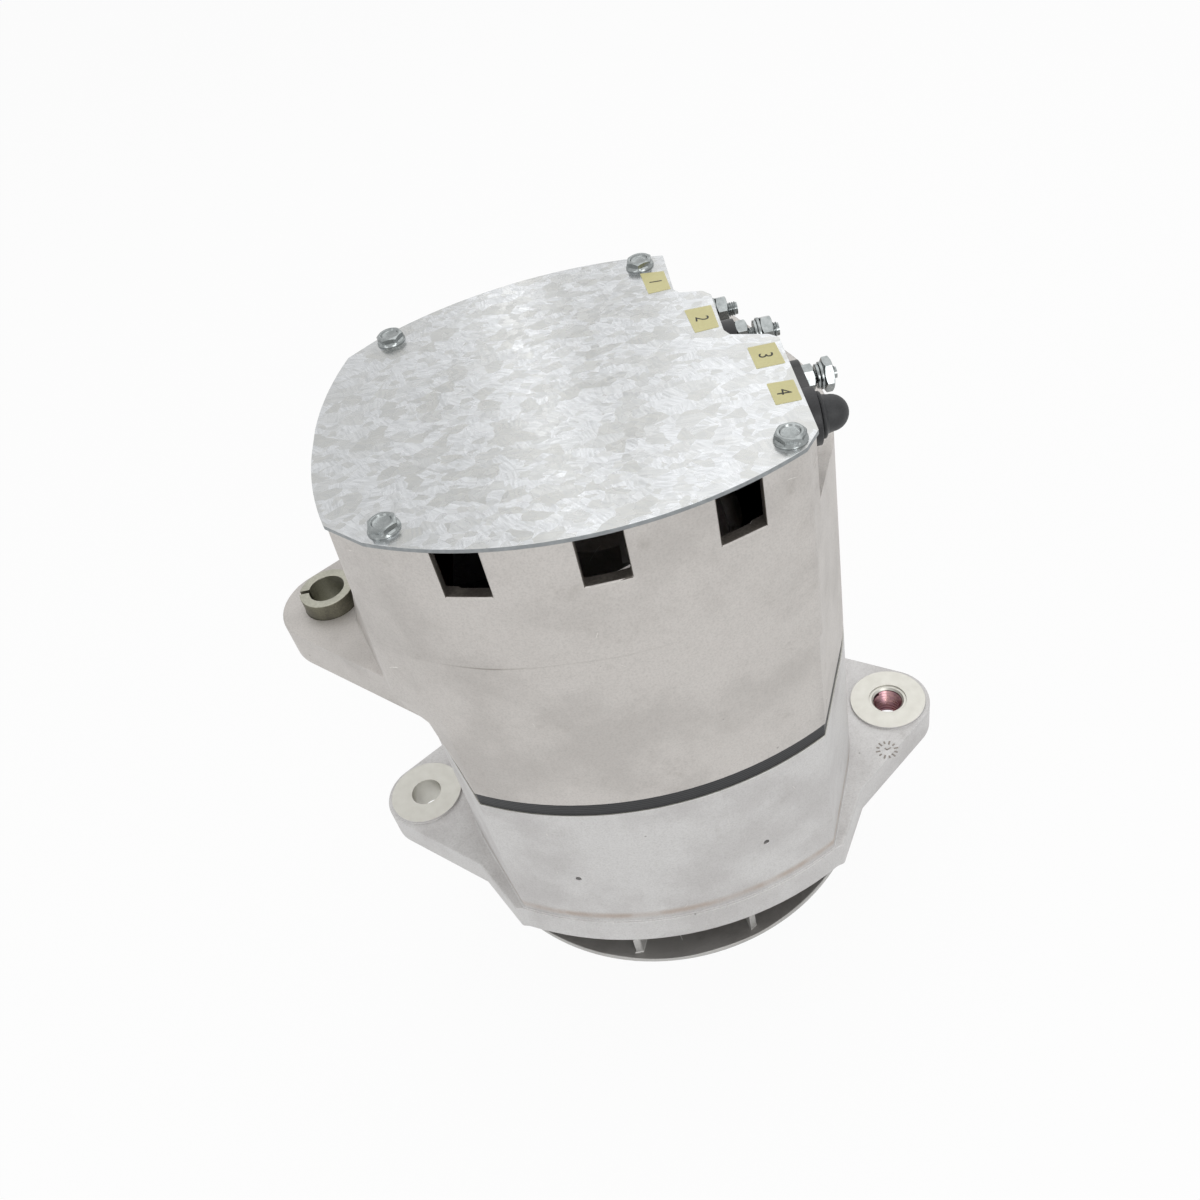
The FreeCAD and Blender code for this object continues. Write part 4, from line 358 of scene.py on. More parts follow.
# Each finish with what it gives the eye.
FINISHES = {
    # A warm pale skin, clouded, with one die line across the front wall.
    "rear_casting": lambda: cast_aluminium(
        "Aluminium die-cast rear frame", bpy.context.scene.alternator_castings.rear_colour, "#c1bdb9", "#a39d97",
        seam_height=177.5 * MM),
    # A cooler, lighter skin with a brownish line of painted shade in the groove over the flange.
    "drive_casting": lambda: cast_aluminium(
        "Aluminium die-cast drive-end frame", bpy.context.scene.alternator_castings.drive_colour, "#c8c6c5",
        "#aca8a4", shade_line_height=33.5 * MM, shade_line_reach=3 * MM),
    # Painted shade: a darker grey, as the fan lies in the shadow of the frame.
    "fan_casting": lambda: cast_aluminium("Aluminium cast fan in painted shade", "#8d8b88", "#7b7875", "#686561"),
    # The fan's edge: cut, so lighter than its faces.
    "fan_rim": lambda: cast_aluminium("Aluminium turned rim", "#bfbebb", "#afaeab", "#93908c"),
    # Grey fins behind the windows.
    "inner_casting": lambda: cast_aluminium(
        "Aluminium heat sink casting", "#c4c2bf", "#b1aeaa", "#97938e"),
    "machined": machined_aluminium,
    "galvanised": galvanised_sheet,
    "sheared_edge": sheared_edge,
    # Small bright highlights on grey, on every screw, nut and washer.
    "zinc": lambda: plated("Steel zinc-plated", "#aaaeae", "#6f7474", 0.22, 1.6 * MM),
    # Near mirrors, for the bearings.
    "ground": lambda: plated("Bearing steel ground", "#cfd0d2", "#b8babc", 0.16, 0.8 * MM),
    # Satin, for the shaft and its thread.
    "turned": lambda: plated("Steel turned", "#c2c2c0", "#a3a3a0", 0.30, 0.9 * MM),
    # Pinkish gold with violet patches, in the ear's bore.
    "passivated": lambda: plated("Steel yellow-passivated", "#c79f8f", "#8d6a86", 0.28, 2.2 * MM),
    # Painted shade: darker grooves that draw the thread in the ear.
    "shaded_thread_grooves": lambda: plated(
        "Steel yellow-passivated thread root in painted shade", "#6f4252", "#4c2a38", 0.30, 1.5 * MM),
    # Warm metal glints between the heat sinks.
    "copper": lambda: plated("Copper strip rolled", "#d9946c", "#b97048", 0.30, 1.2 * MM),
    # The dark band between the frames, ruled with fine lines.
    "laminations": lambda: layered(
        "Lamination edges varnished", "#292a2d", "#17181a", 1.0 * MM, 0.15, 0.50, 0.06),
    # Glossy brown wire.
    "windings": lambda: layered(
        "Copper wire enamelled", "#8a4a22", "#4f2410", 1.1 * MM, 0.55, 0.32, 0.5),
    # Olive grey with a low sheen, on the outside of the bushing.
    "bushing": lambda: dull(
        "Steel turned and oil-blacked", "#858372", "#65635a", 0.85, 0.42, 0.7 * MM, 0.08 * MM),
    # The bushing's ends and bore, in a lighter tone than its sides.
    "bushing_face": lambda: dull(
        "Steel turned face", "#b9b8ab", "#9d9c90", 0.9, 0.36, 0.7 * MM, 0.06 * MM),
    # Painted shade with brownish dirt: dark sides that set the windows off from the wall.
    "window_dirt_and_shade": lambda: dull(
        "Aluminium window sides dirty and shaded", "#77716a", "#4f4a45", 0.4, 0.6, 0.8 * MM, 0.08 * MM),
    # The raised dial, a tone under the ear around it.
    "dial": lambda: dull(
        "Aluminium cast lettering oxidised", "#a8a29b", "#8c8680", 0.5, 0.55, 0.7 * MM, 0.06 * MM),
    # Dark scaly grey, for the poles.
    "pole_steel": lambda: dull(
        "Steel forged poles", "#5c5c5e", "#38383a", 0.8, 0.48, 1.1 * MM, 0.15 * MM),
    # Soft black with wide dim highlights, for the cap and the seals.
    "rubber": lambda: dull("Nitrile rubber moulded", bpy.context.scene.alternator_terminals.rubber, "#1f2021",
                                 0.0, 0.50, 0.9 * MM, 0.08 * MM),
    # Harder black with a fibre grain, for the insulators.
    "black_plastic": lambda: dull(
        "Nylon glass-filled moulded", "#2c2c2f", "#19191b", 0.0, 0.46, 0.6 * MM, 0.06 * MM),
    # Smooth shiny black, over the regulator.
    "potting": lambda: dull(
        "Epoxy potting cast", "#1f1f22", "#121214", 0.0, 0.30, 2.0 * MM, 0.06 * MM),
    # Dull tan, round the field coil.
    "bobbin": lambda: dull(
        "Nylon moulded natural", "#b49b6b", "#9a8052", 0.0, 0.5, 1.0 * MM, 0.06 * MM),
    # Pale yellow film, flat beside the zinc.
    "label": lambda: dull("Vinyl label film", bpy.context.scene.alternator_labels.film_colour, "#d9d196",
                                0.0, 0.44, 0.9 * MM, 0.02 * MM),
    # Matt dark print.
    "ink": lambda: dull("Label ink printed", bpy.context.scene.alternator_labels.ink_colour, "#26261f",
                              0.0, 0.6, 0.8 * MM, 0.01 * MM),
}


# Mesh building

def new_object(name, bm, keys):
    """A scene object from a bmesh, with a material slot for each finish."""
    mesh = bpy.data.meshes.new(name)
    bm.to_mesh(mesh)
    bm.free()
    for attribute in [a for a in mesh.attributes if a.name == "custom_normal"]:
        mesh.attributes.remove(attribute)
    for key in keys:
        mesh.materials.append(finish_of(key))
    piece = bpy.data.objects.new(name, mesh)
    bpy.context.scene.collection.objects.link(piece)
    return piece


def placed(name, bm, keys, body, smooth_angle=30):
    """Turns a bmesh into a finished object that rides on its CAD body."""
    piece = new_object(name, bm, keys)
    piece.data.shade_smooth()
    piece.data.set_sharp_from_angle(angle=math.radians(smooth_angle))
    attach(piece, body)
    return piece


def new_piece(name, bm, keys, body, smooth_angle=30):
    """The same with its faces turned outwards first."""
    bmesh.ops.recalc_face_normals(bm, faces=bm.faces)
    return placed(name, bm, keys, body, smooth_angle)


def merged_copy(node):
    """The CAD node's triangles as one closed mesh with whole flat faces."""
    bm = bmesh.new()
    bm.from_mesh(nodes[node].data)
    bmesh.ops.remove_doubles(bm, verts=bm.verts, dist=0.001 * MM)
    bmesh.ops.dissolve_limit(bm, angle_limit=math.radians(0.6), verts=bm.verts, edges=bm.edges)
    for face in bm.faces:
        face.material_index = 0
    return bm


def narrow(face, radii):
    """Limits the radius of each edge to what the face has room for, measured straight across it."""
    if len(face.verts) < 5 or not any(loop.edge in radii for loop in face.loops):
        return
    across = face.loops[0].edge.verts[0].co - face.loops[0].edge.verts[1].co
    first = across.normalized()
    second = face.normal.cross(first)
    ring = np.array([(loop.vert.co.dot(first), loop.vert.co.dot(second)) for loop in face.loops])
    run = np.roll(ring, -1, axis=0) - ring
    for index, loop in enumerate(face.loops):
        length = np.hypot(*run[index])
        if loop.edge not in radii or length < 1e-9:
            continue
        inward = np.array([-run[index][1], run[index][0]]) / length
        for part in (0.12, 0.5, 0.88):
            gap = ring - (ring[index] + run[index] * part)
            cross = inward[0] * run[:, 1] - inward[1] * run[:, 0]
            with np.errstate(divide="ignore", invalid="ignore"):
                reach = (gap[:, 0] * run[:, 1] - gap[:, 1] * run[:, 0]) / cross
                share = (gap[:, 0] * inward[1] - gap[:, 1] * inward[0]) / cross
            hits = reach[(np.abs(cross) > 1e-12) & (reach > 1e-7) & (share >= -1e-6) & (share <= 1 + 1e-6)]
            if len(hits):
                radii[loop.edge] = min(radii[loop.edge], float(hits.min()) * SHARE)


def middle(edge):
    return (edge.verts[0].co + edge.verts[1].co) / 2


def indoors(edge, walls):
    """Whether an edge stands in a room of the casting, where its rounding could not be seen."""
    out = (edge.link_faces[0].normal + edge.link_faces[1].normal).normalized()
    start = middle(edge) + out * 0.4 * MM
    outward = Vector((start.x, start.y, 0.0)).normalized()
    return walls.ray_cast(start, outward, 90.0 * MM)[0] is not None


def edge_radii(bm, radius_of, walls):
    """The radius of each edge: what radius_of gives, or less where a face or a neighbour is too narrow
    for it. When walls are given, edges indoors stay sharp."""
    radii = {}
    for edge in bm.edges:
        if len(edge.link_faces) == 2 and edge.calc_face_angle(0.0) > BROKEN:
            if not (walls and indoors(edge, walls)):
                radii[edge] = radius_of(edge)
    for edge in radii:
        along = (edge.verts[1].co - edge.verts[0].co).normalized()
        for corner in edge.verts:
            for other in corner.link_edges:
                way = (other.verts[1].co - other.verts[0].co).normalized()
                carries_on = other in radii and abs(way.dot(along)) > 0.8
                if other is not edge and not carries_on:
                    radii[edge] = min(radii[edge], other.calc_length() * SHARE)
    for face in bm.faces:
        narrow(face, radii)
    for turn in range(3):
        for edge in radii:
            for corner in edge.verts:
                for other in corner.link_edges:
                    if other in radii:
                        radii[edge] = min(radii[edge], radii[other] * 1.5 + 0.02 * MM)
    return radii


def unfold(bm):
    """Turns the diagonals of flat faces until no triangle lies folded over its neighbour."""
    waiting = [edge for edge in bm.edges if len(edge.link_faces) == 2
               and edge.link_faces[0].normal.dot(edge.link_faces[1].normal) < -0.9]
    while waiting:
        edge = waiting.pop()
        if not edge.is_valid or len(edge.link_faces) != 2:
            continue
        pair = edge.link_faces
        ends = set(edge.verts)
        first, second = [next(corner for corner in face.verts if corner not in ends) for face in pair]
        if first is second or bm.edges.get((first, second)):
            continue
        wide = max(pair, key=lambda face: face.calc_area())
        beyond = second if wide is pair[0] else first
        if abs((beyond.co - edge.verts[0].co).dot(wide.normal)) > 0.01 * MM:
            continue
        turned = sum(area_tri(corner.co, first.co, second.co) for corner in ends)
        if turned < pair[0].calc_area() + pair[1].calc_area() - 0.004 * MM * MM:
            diagonal = bmesh.utils.edge_rotate(edge, False)
            for face in diagonal.link_faces if diagonal else ():
                face.normal_update()
                waiting.extend(face.edges)


def folded(faces, walls):
    """The area of the faces that look away from the unrounded surface."""
    area = 0.0
    for face in faces:
        face.normal_update()
        way = walls.find_nearest(face.calc_center_median())[1]
        if face.normal.dot(way) < -0.2:
            area += face.calc_area()
    return area


def untangle(bm, walls):
    """Puts corners that the rounding pushed past each other back in order, or joins them."""
    for face in [face for face in bm.faces if folded([face], walls) > FOLD_AREA]:
        best = None
        for edge in face.edges:
            first, second = edge.verts
            around = set(first.link_faces) | set(second.link_faces)
            before = folded(around, walls)
            old = first.co.copy(), second.co.copy()
            if before < FOLD_AREA or (old[0] - old[1]).length > 2.5 * MM:
                continue
            halfway = (old[0] + old[1]) / 2
            for places in ((old[1], old[0]), (halfway, halfway), (old[0], old[0]), (old[1], old[1])):
                first.co, second.co = places
                gain = before - folded(around, walls)
                if gain > before * 0.25 and (best is None or gain > best[0]):
                    best = gain, first, second, places[0].copy(), places[1].copy()
            first.co, second.co = old
            for other in around:
                other.normal_update()
        if best:
            best[1].co, best[2].co = best[3], best[4]


def trim(bm):
    """Takes off fins, faces that stand on a closed surface, and bare edges and corners."""
    while True:
        fins = [face for face in bm.faces if any(len(edge.link_faces) == 1 for edge in face.edges)
                and any(len(edge.link_faces) > 2 for edge in face.edges)]
        if not fins:
            break
        bmesh.ops.delete(bm, geom=fins, context="FACES")
    bmesh.ops.delete(bm, geom=[edge for edge in bm.edges if not edge.link_faces], context="EDGES")
    bmesh.ops.delete(bm, geom=[corner for corner in bm.verts if not corner.link_faces], context="VERTS")


def softened(name, node, radius_of, segments, keys, body, paint=None, rooms=False):
    """A copy of a CAD node with its corners rounded. radius_of gives the radius for an edge and paint
    the finish for a face. With rooms, edges indoors stay sharp."""
    bm = merged_copy(node)
    if paint:
        for face in bm.faces:
            face.material_index = paint(face)
    weight = bm.edges.layers.float.new("bevel_weight_edge")
    walls = BVHTree.FromBMesh(bm)
    radii = edge_radii(bm, radius_of, walls if rooms else None)
    largest = max([0.1 * MM, *radii.values()])
    for edge, radius in radii.items():
        edge[weight] = radius / largest if radius > SMALLEST else 0.0
        edge.smooth = edge[weight] > 0
    bmesh.ops.triangulate(bm, faces=[face for face in bm.faces if len(face.verts) > 4],
                          quad_method="BEAUTY", ngon_method="BEAUTY")
    for face in bm.faces:
        face.smooth = True
    piece = new_object(name, bm, keys)
    bevel = piece.modifiers.new("Corners", "BEVEL")
    bevel.limit_method = "WEIGHT"
    bevel.width = largest
    bevel.segments = segments
    bevel.profile = 0.5
    bevel.material = -1
    bevel.use_clamp_overlap = False
    bevel.loop_slide = False
    rounded = bmesh.new()
    rounded.from_object(piece, bpy.context.evaluated_depsgraph_get())
    for turn in range(3):
        bmesh.ops.triangulate(rounded, faces=rounded.faces, quad_method="SHORT_EDGE", ngon_method="BEAUTY")
        unfold(rounded)
        untangle(rounded, walls)
        bmesh.ops.dissolve_degenerate(rounded, edges=rounded.edges, dist=0.012 * MM)
        rounded.normal_update()
    trim(rounded)
    for edge in rounded.edges:
        if len(edge.link_faces) != 2 or edge.calc_face_angle(0.0) > CREASE:
            edge.smooth = False
    rounded.to_mesh(piece.data)
    rounded.free()
    piece.modifiers.remove(bevel)
    piece.modifiers.new("Flat faces", "WEIGHTED_NORMAL").keep_sharp = True
    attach(piece, body)
    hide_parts(node)
    return piece


def spun(profile, steps):
    """A closed turned shape about Z from (radius, height) points in mm that start and end on the axis,
    or a ring from points that form a loop."""
    bm = bmesh.new()
    corners = [bm.verts.new((radius * MM, 0.0, height * MM)) for radius, height in profile]
    edges = [bm.edges.new(pair) for pair in zip(corners, corners[1:])]
    if profile[0][0] > 0:
        edges.append(bm.edges.new((corners[-1], corners[0])))
    bmesh.ops.spin(bm, geom=corners + edges, cent=(0, 0, 0), axis=(0, 0, 1), angle=2 * math.pi,
                   steps=steps, use_merge=True)
    bmesh.ops.remove_doubles(bm, verts=bm.verts, dist=0.0005 * MM)
    bmesh.ops.dissolve_degenerate(bm, edges=bm.edges, dist=0.0001 * MM)
    bmesh.ops.recalc_face_normals(bm, faces=bm.faces)
    return bm


def press_hexagon(bm, flats, inner, low, high):
    """Presses the outer ring of a spun blank to a hexagon, with the chamfer that a nut is turned with."""
    for corner in bm.verts:
        radius = math.hypot(corner.co.x, corner.co.y)
        if radius < inner * 1.002 or corner.co.z < low - TOUCH or corner.co.z > high + TOUCH:
            continue
        wedge = (math.atan2(corner.co.y, corner.co.x) + math.pi / 6) % (math.pi / 3) - math.pi / 6
        reach = flats / 2 / math.cos(wedge)
        drop = max(reach - inner, 0.0) * math.tan(math.radians(28))
        corner.co.x *= reach / radius
        corner.co.y *= reach / radius
        if abs(corner.co.z - high) < TOUCH:
            corner.co.z -= drop
        elif abs(corner.co.z - low) < TOUCH:
            corner.co.z += drop


def nut(flats, thick, bore):
    """A hexagon nut by its sizes in mm, chamfered on both faces, standing along Z."""
    inner = flats * 0.47
    rim = flats / math.sqrt(3)
    lead = bore + 0.35
    bm = spun([(bore, 0.35), (lead, 0), (inner, 0), (rim, 0), (rim, thick), (inner, thick),
               (lead, thick), (bore, thick - 0.35)], 48)
    press_hexagon(bm, flats * MM, inner * MM, 0.0, thick * MM)
    return bm


def thread(crest, depth, pitch, start, length, inward=False):
    """A V ridge wound round Z, to stand on a core."""
    bm = bmesh.new()
    sign = -1 if inward else 1
    foot = crest - sign * (depth + 0.05 * MM)
    turns = max(length / pitch - 1.0, 1.0)
    steps = int(turns * 28)
    section = [bm.verts.new((radius, 0.0, start + pitch * part))
               for radius, part in ((foot, 0.0), (crest, 0.44), (crest, 0.56), (foot, 1.0))]
    face = bm.faces.new(section)
    bmesh.ops.spin(bm, geom=section + list(face.edges) + [face], cent=(0, 0, 0), axis=(0, 0, 1),
                   dvec=(0, 0, pitch * turns / steps), angle=2 * math.pi * turns, steps=steps)
    bmesh.ops.recalc_face_normals(bm, faces=bm.faces)
    return bm


def stand(bm, place, along="z", spin=0.0):
    """Spins a mesh built along Z, turns it to its axis and moves it to its place."""
    if spin:
        bmesh.ops.rotate(bm, verts=bm.verts, cent=(0, 0, 0), matrix=Matrix.Rotation(spin, 3, "Z"))
    if along == "x":
        bmesh.ops.rotate(bm, verts=bm.verts, cent=(0, 0, 0), matrix=Matrix.Rotation(math.pi / 2, 3, "Y"))
    bmesh.ops.translate(bm, verts=bm.verts, vec=place)
    return bm


def gathered(parts):
    """Several bmeshes in one."""
    whole = bmesh.new()
    for part in parts:
        mesh = bpy.data.meshes.new("part")
        part.to_mesh(mesh)
        part.free()
        whole.from_mesh(mesh)
        bpy.data.meshes.remove(mesh)
    return whole


def threaded(name, node, runs, along, radius, depth, pitch, keys, body):
    """A copy of a CAD stud or shaft, turned down to the root and wound with its thread. A run is a point
    on the axis, the thread's start and its end. Only studs along X are turned down for all their length."""
    bm = merged_copy(node)
    part = "xyz".index(along)
    for corner in bm.verts:
        for centre, start, end in runs:
            offset = corner.co - Vector(centre)
            offset[part] = 0.0
            inside = along == "x" or corner.co.z < end + 0.1 * MM
            if inside and offset.length < radius + 0.06 * MM:
                corner.co -= offset * (depth / radius)
                break
    ridges = []
    for centre, start, end in runs:
        place = Vector(centre)
        place[part] = start
        ridges.append(stand(thread(radius, depth, pitch, 0.0, end - start), place, along))
    piece = placed(name, gathered([bm, *ridges]), keys, body)
    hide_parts(node)
    return piece


# What a user would change

class CastingSettings(PropertyGroup):
    edge: FloatProperty(name="Cast corners", description="Radius of the corners left by the die",
                        default=0.9 * MM, unit="LENGTH")
    wall_corner: FloatProperty(name="Wall corners", unit="LENGTH", default=2.2 * MM,
                               description="Radius where the front wall meets the side facets")
    lug_edge: FloatProperty(name="Rear lug corners", description="Radius of the soft corners of the rear lug",
                            default=3.5 * MM, unit="LENGTH")
    cut_edge: FloatProperty(name="Cut corners", description="Broken corners of machined faces",
                            default=0.3 * MM, unit="LENGTH")
    rear_colour: FloatVectorProperty(name="Rear frame", description="Colour of the rear casting", size=3,
                                     subtype="COLOR", default=linear("#cfcbc7"), min=0.0, max=1.0)
    drive_colour: FloatVectorProperty(name="Drive-end frame", description="Colour of the drive-end casting",
                                      size=3, subtype="COLOR", default=linear("#d6d5d4"), min=0.0, max=1.0)


class CoverSettings(PropertyGroup):
    dish: FloatProperty(name="Dished head", description="Depth of the hollow in the screw heads",
                        default=0.7 * MM, unit="LENGTH")
    sheet_edge: FloatProperty(name="Sheet edge", description="Rounding of the sheared edge",
                              default=0.18 * MM, unit="LENGTH")
    zinc: FloatVectorProperty(name="Zinc", description="Colour of the bright flakes on the cover", size=3,
                              subtype="COLOR", default=linear("#d2d4d6"), min=0.0, max=1.0)


class TerminalSettings(PropertyGroup):
    power_pitch: FloatProperty(name="Power stud pitch", description="Thread pitch of the two power studs",
                               default=0.8 * MM, unit="LENGTH")
    signal_pitch: FloatProperty(name="Signal stud pitch", description="Thread pitch of the signal studs",
                                default=0.7 * MM, unit="LENGTH")
    thread_depth: FloatProperty(name="Thread depth", description="Depth of the stud threads",
                                default=0.36 * MM, unit="LENGTH")
    rubber: FloatVectorProperty(name="Rubber", description="Colour of the terminal cap", size=3,
                                subtype="COLOR", default=linear("#333436"), min=0.0, max=1.0)


class LabelSettings(PropertyGroup):
    film: FloatProperty(name="Film", description="Thickness of the label film", default=0.12 * MM,
                        unit="LENGTH")
    mark_height: FloatProperty(name="Mark height", description="Height of the printed marks",
                               default=4.6 * MM, unit="LENGTH")
    marks: StringProperty(name="Marks", default="1234",
                          description="One printed mark for each label, from the back to the front")
    film_colour: FloatVectorProperty(name="Film colour", description="Colour of the label film", size=3,
                                     subtype="COLOR", default=linear("#e4dea6"), min=0.0, max=1.0)
    ink_colour: FloatVectorProperty(name="Ink colour", description="Colour of the printed marks", size=3,
                                    subtype="COLOR", default=linear("#3a3a30"), min=0.0, max=1.0)


class StageSettings(PropertyGroup):
    floor: FloatVectorProperty(name="Floor", description="Colour of the floor and the background",
                               subtype="COLOR", size=3, default=linear("#ffffff"), min=0.0, max=1.0)
    ambient: FloatProperty(name="Ambient", description="Strength of the even studio light", default=0.42)
    key: FloatProperty(name="Overhead softbox", description="Watts of the softbox over the alternator",
                       default=2.8)


# Castings

def near_axis(point, x):
    return math.hypot(point.x - x, point.y)


def at_wall_corner(edge, point):
    """Whether an upright edge stands where a wall meets a side facet."""
    rise = abs(edge.verts[0].co.z - edge.verts[1].co.z)
    return abs(abs(point.x) - FACET) < 6 * MM and rise > 8 * MM


def rear_radius(edge):
    settings = bpy.context.scene.alternator_castings
    point = middle(edge)
    if point.z < BAND_TOP + 0.4 * MM or point.z > COVER_TOP - 2.0 * MM:
        return settings.cut_edge
    if near_axis(point, -REACH) < 10.6 * MM or edge.calc_length() < SHORT:
        return settings.cut_edge
    if point.x < -64 * MM and point.z < COVER_TOP - 50 * MM and near_axis(point, -REACH) > 24 * MM:
        return settings.lug_edge
    return settings.wall_corner if at_wall_corner(edge, point) else settings.edge


def drive_radius(edge):
    settings = bpy.context.scene.alternator_castings
    point = middle(edge)
    near = min(near_axis(point, -REACH), near_axis(point, REACH))
    if point.z > BAND_BOTTOM - 0.4 * MM or edge.calc_length() < SHORT:
        return settings.cut_edge
    if abs(point.z - PAD_TOP) < 0.3 * MM or near < 9 * MM:
        return settings.cut_edge * 0.7
    if near < 18.5 * MM:
        return settings.cut_edge
    return settings.wall_corner if at_wall_corner(edge, point) else settings.edge * 1.2


def drive_paint(face):
    """The spot faces and bores of the lug and the ear are cut, the rest is as cast."""
    point = face.calc_center_median()
    near = min(near_axis(point, -REACH), near_axis(point, REACH))
    level = abs(face.normal.z) > 0.98
    spot_face = level and abs(point.z - PAD_TOP) < 0.1 * MM and near < 16.2 * MM
    bore = abs(face.normal.z) < 0.1 and near < 8.2 * MM
    joint = level and point.z > BAND_BOTTOM - 0.1 * MM
    return 1 if spot_face or bore or joint else 0


def rear_paint(face):
    """The joint and the lug's bore are cut, and the sides of the front windows take a dark brownish finish of
    painted shade with dirt.
    """
    point = face.calc_center_median()
    joint = abs(face.normal.z) > 0.98 and point.z < BAND_TOP + 0.1 * MM
    bore = abs(face.normal.z) < 0.1 and near_axis(point, -REACH) < 10.4 * MM
    if joint or bore:
        return 1
    # The sides of the front windows: painted shade with brownish dirt.
    beside = min(abs(point.x - place) for place in WINDOWS) < WINDOW_HALF + 0.4 * MM
    level = WINDOW_SILL - 0.1 * MM < point.z < COVER_TOP - 1.8 * MM
    return 2 if beside and level and point.y < -50 * MM and abs(face.normal.y) < 0.35 else 0


class ALTERNATOR_OT_castings(Operator):
    """Rounds the corners of the two aluminium frames and gives them their cast and machined finishes"""
    bl_idname = "alternator.castings"
    bl_label = "Castings"

    def execute(self, context):
        softened("rear_frame_casting", "rear_end_frame", rear_radius, 3, ["rear_casting", "machined", "window_dirt_and_shade"],
                 "housing", rear_paint, rooms=True)
        softened("drive_end_casting", "drive_end_frame", drive_radius, 3, ["drive_casting", "machined"],
                 "housing", drive_paint, rooms=True)
        return {"FINISHED"}


# Cover

def screw_places(node):
    """Where the separate solids of a node stand, seen from above."""
    bm = merged_copy(node)
    places = []
    left = set(bm.verts)
    while left:
        island = [left.pop()]
        for corner in island:
            for edge in corner.link_edges:
                other = edge.other_vert(corner)
                if other in left:
                    left.discard(other)
                    island.append(other)
        places.append(flat_centre(island))
    bm.free()
    return sorted(places)


def flat_centre(corners):
    """The middle of the corners' extent along X and Y."""
    return tuple((min(v.co[i] for v in corners) + max(v.co[i] for v in corners)) / 2 for i in range(2))


class ALTERNATOR_OT_cover(Operator):
    """Makes the galvanised cover sheet"""
    bl_idname = "alternator.cover"
    bl_label = "Cover sheet"

    def execute(self, context):
        settings = context.scene.alternator_cover
        holes = screw_places("cover_screws")

        def edge_radius(edge):
            """The rims of the screw holes lie under the heads and stay as cut."""
            point = middle(edge)
            under = min(math.hypot(point.x - x, point.y - y) for x, y in holes) < 3.2 * MM
            return 0.0 if under else settings.sheet_edge

        softened("cover_sheet", "rear_cover", edge_radius, 2, ["galvanised", "sheared_edge"],
                 "housing", lambda face: 0 if abs(face.normal.z) > 0.9 else 1)
        return {"FINISHED"}


def washer_screw(depth, dish):
    """Hexagon washer-head screw, in mm: dished top, chamfered hexagon and a flange with a rounded rim."""
    top = 3.0
    ledge = 1.0
    rim = COVER_SCREW_FLATS / math.sqrt(3)
    inner = COVER_SCREW_FLATS * 0.46
    bm = spun([(0, top - dish), (2.2, top - dish), (2.7, top - dish * 0.75), (3.05, top - 0.05), (3.25, top),
               (inner, top), (rim, top), (rim, ledge + 0.25), (rim + 0.05, ledge - 0.15), (4.75, 0.62),
               (4.9, 0.35), (4.82, 0), (2.5, 0), (2.5, 1.0 - depth), (1.8, -depth), (0, -depth)], 72)
    press_hexagon(bm, COVER_SCREW_FLATS * MM, inner * MM, (ledge + 0.2) * MM, (top + 0.5) * MM)
    for corner in bm.verts:
        radius = math.hypot(corner.co.x, corner.co.y)
        if corner.co.z > top * MM - TOUCH and radius > inner * MM * 1.002:
            corner.co.z -= (radius - inner * MM) * math.tan(math.radians(30))
    return bm


class ALTERNATOR_OT_cover_screws(Operator):
    """Makes the four zinc-plated washer-head screws that hold the cover"""
    bl_idname = "alternator.cover_screws"
    bl_label = "Cover screws"

    def execute(self, context):
        dish = context.scene.alternator_cover.dish / MM
        depth = (COVER_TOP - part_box("cover_screws")[0].z) / MM
        parts = [stand(washer_screw(depth, dish), (x, y, COVER_TOP), spin=0.5 + index * 0.7)
                 for index, (x, y) in enumerate(screw_places("cover_screws"))]
        piece = new_piece("washer_head_screws", gathered(parts), ["zinc"], "housing")
        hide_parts("cover_screws")
        return {"FINISHED"}


# Terminals

class ALTERNATOR_OT_power_terminals(Operator):
    """Makes the studs, nuts, washers and insulators of the positive and negative terminals"""
    bl_idname = "alternator.power_terminals"
    bl_label = "Power terminals"

    def execute(self, context):
        settings = context.scene.alternator_terminals
        thick = 3.9
        for sign in ("positive", "negative"):
            low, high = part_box(sign + "_nuts")
            centre = (low + high) / 2
            parts = [stand(nut(LARGE_FLATS, thick, 2.3), (start, centre.y, centre.z), "x", spin)
                     for start, spin in ((low.x, 0.2), (high.x - thick * MM, 0.55))]
            nuts = new_piece(sign + "_hexagon_nuts", gathered(parts), ["zinc"], "housing")
            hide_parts(sign + "_nuts")
            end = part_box(sign + "_stud")[1].x - 0.2 * MM
            threaded(sign + "_threaded_stud", sign + "_stud", [((0.0, centre.y, centre.z), low.x - 1 * MM, end)],
                     "x", 2.45 * MM, settings.thread_depth, settings.power_pitch, ["zinc"], "housing")
            softened(sign + "_washer_pair", sign + "_washers", lambda edge: 0.14 * MM, 2, ["zinc"],
                     "housing")
            softened(sign + "_stud_insulator", sign + "_insulator", lambda edge: 0.35 * MM, 2,
                     ["black_plastic"], "housing")
        return {"FINISHED"}


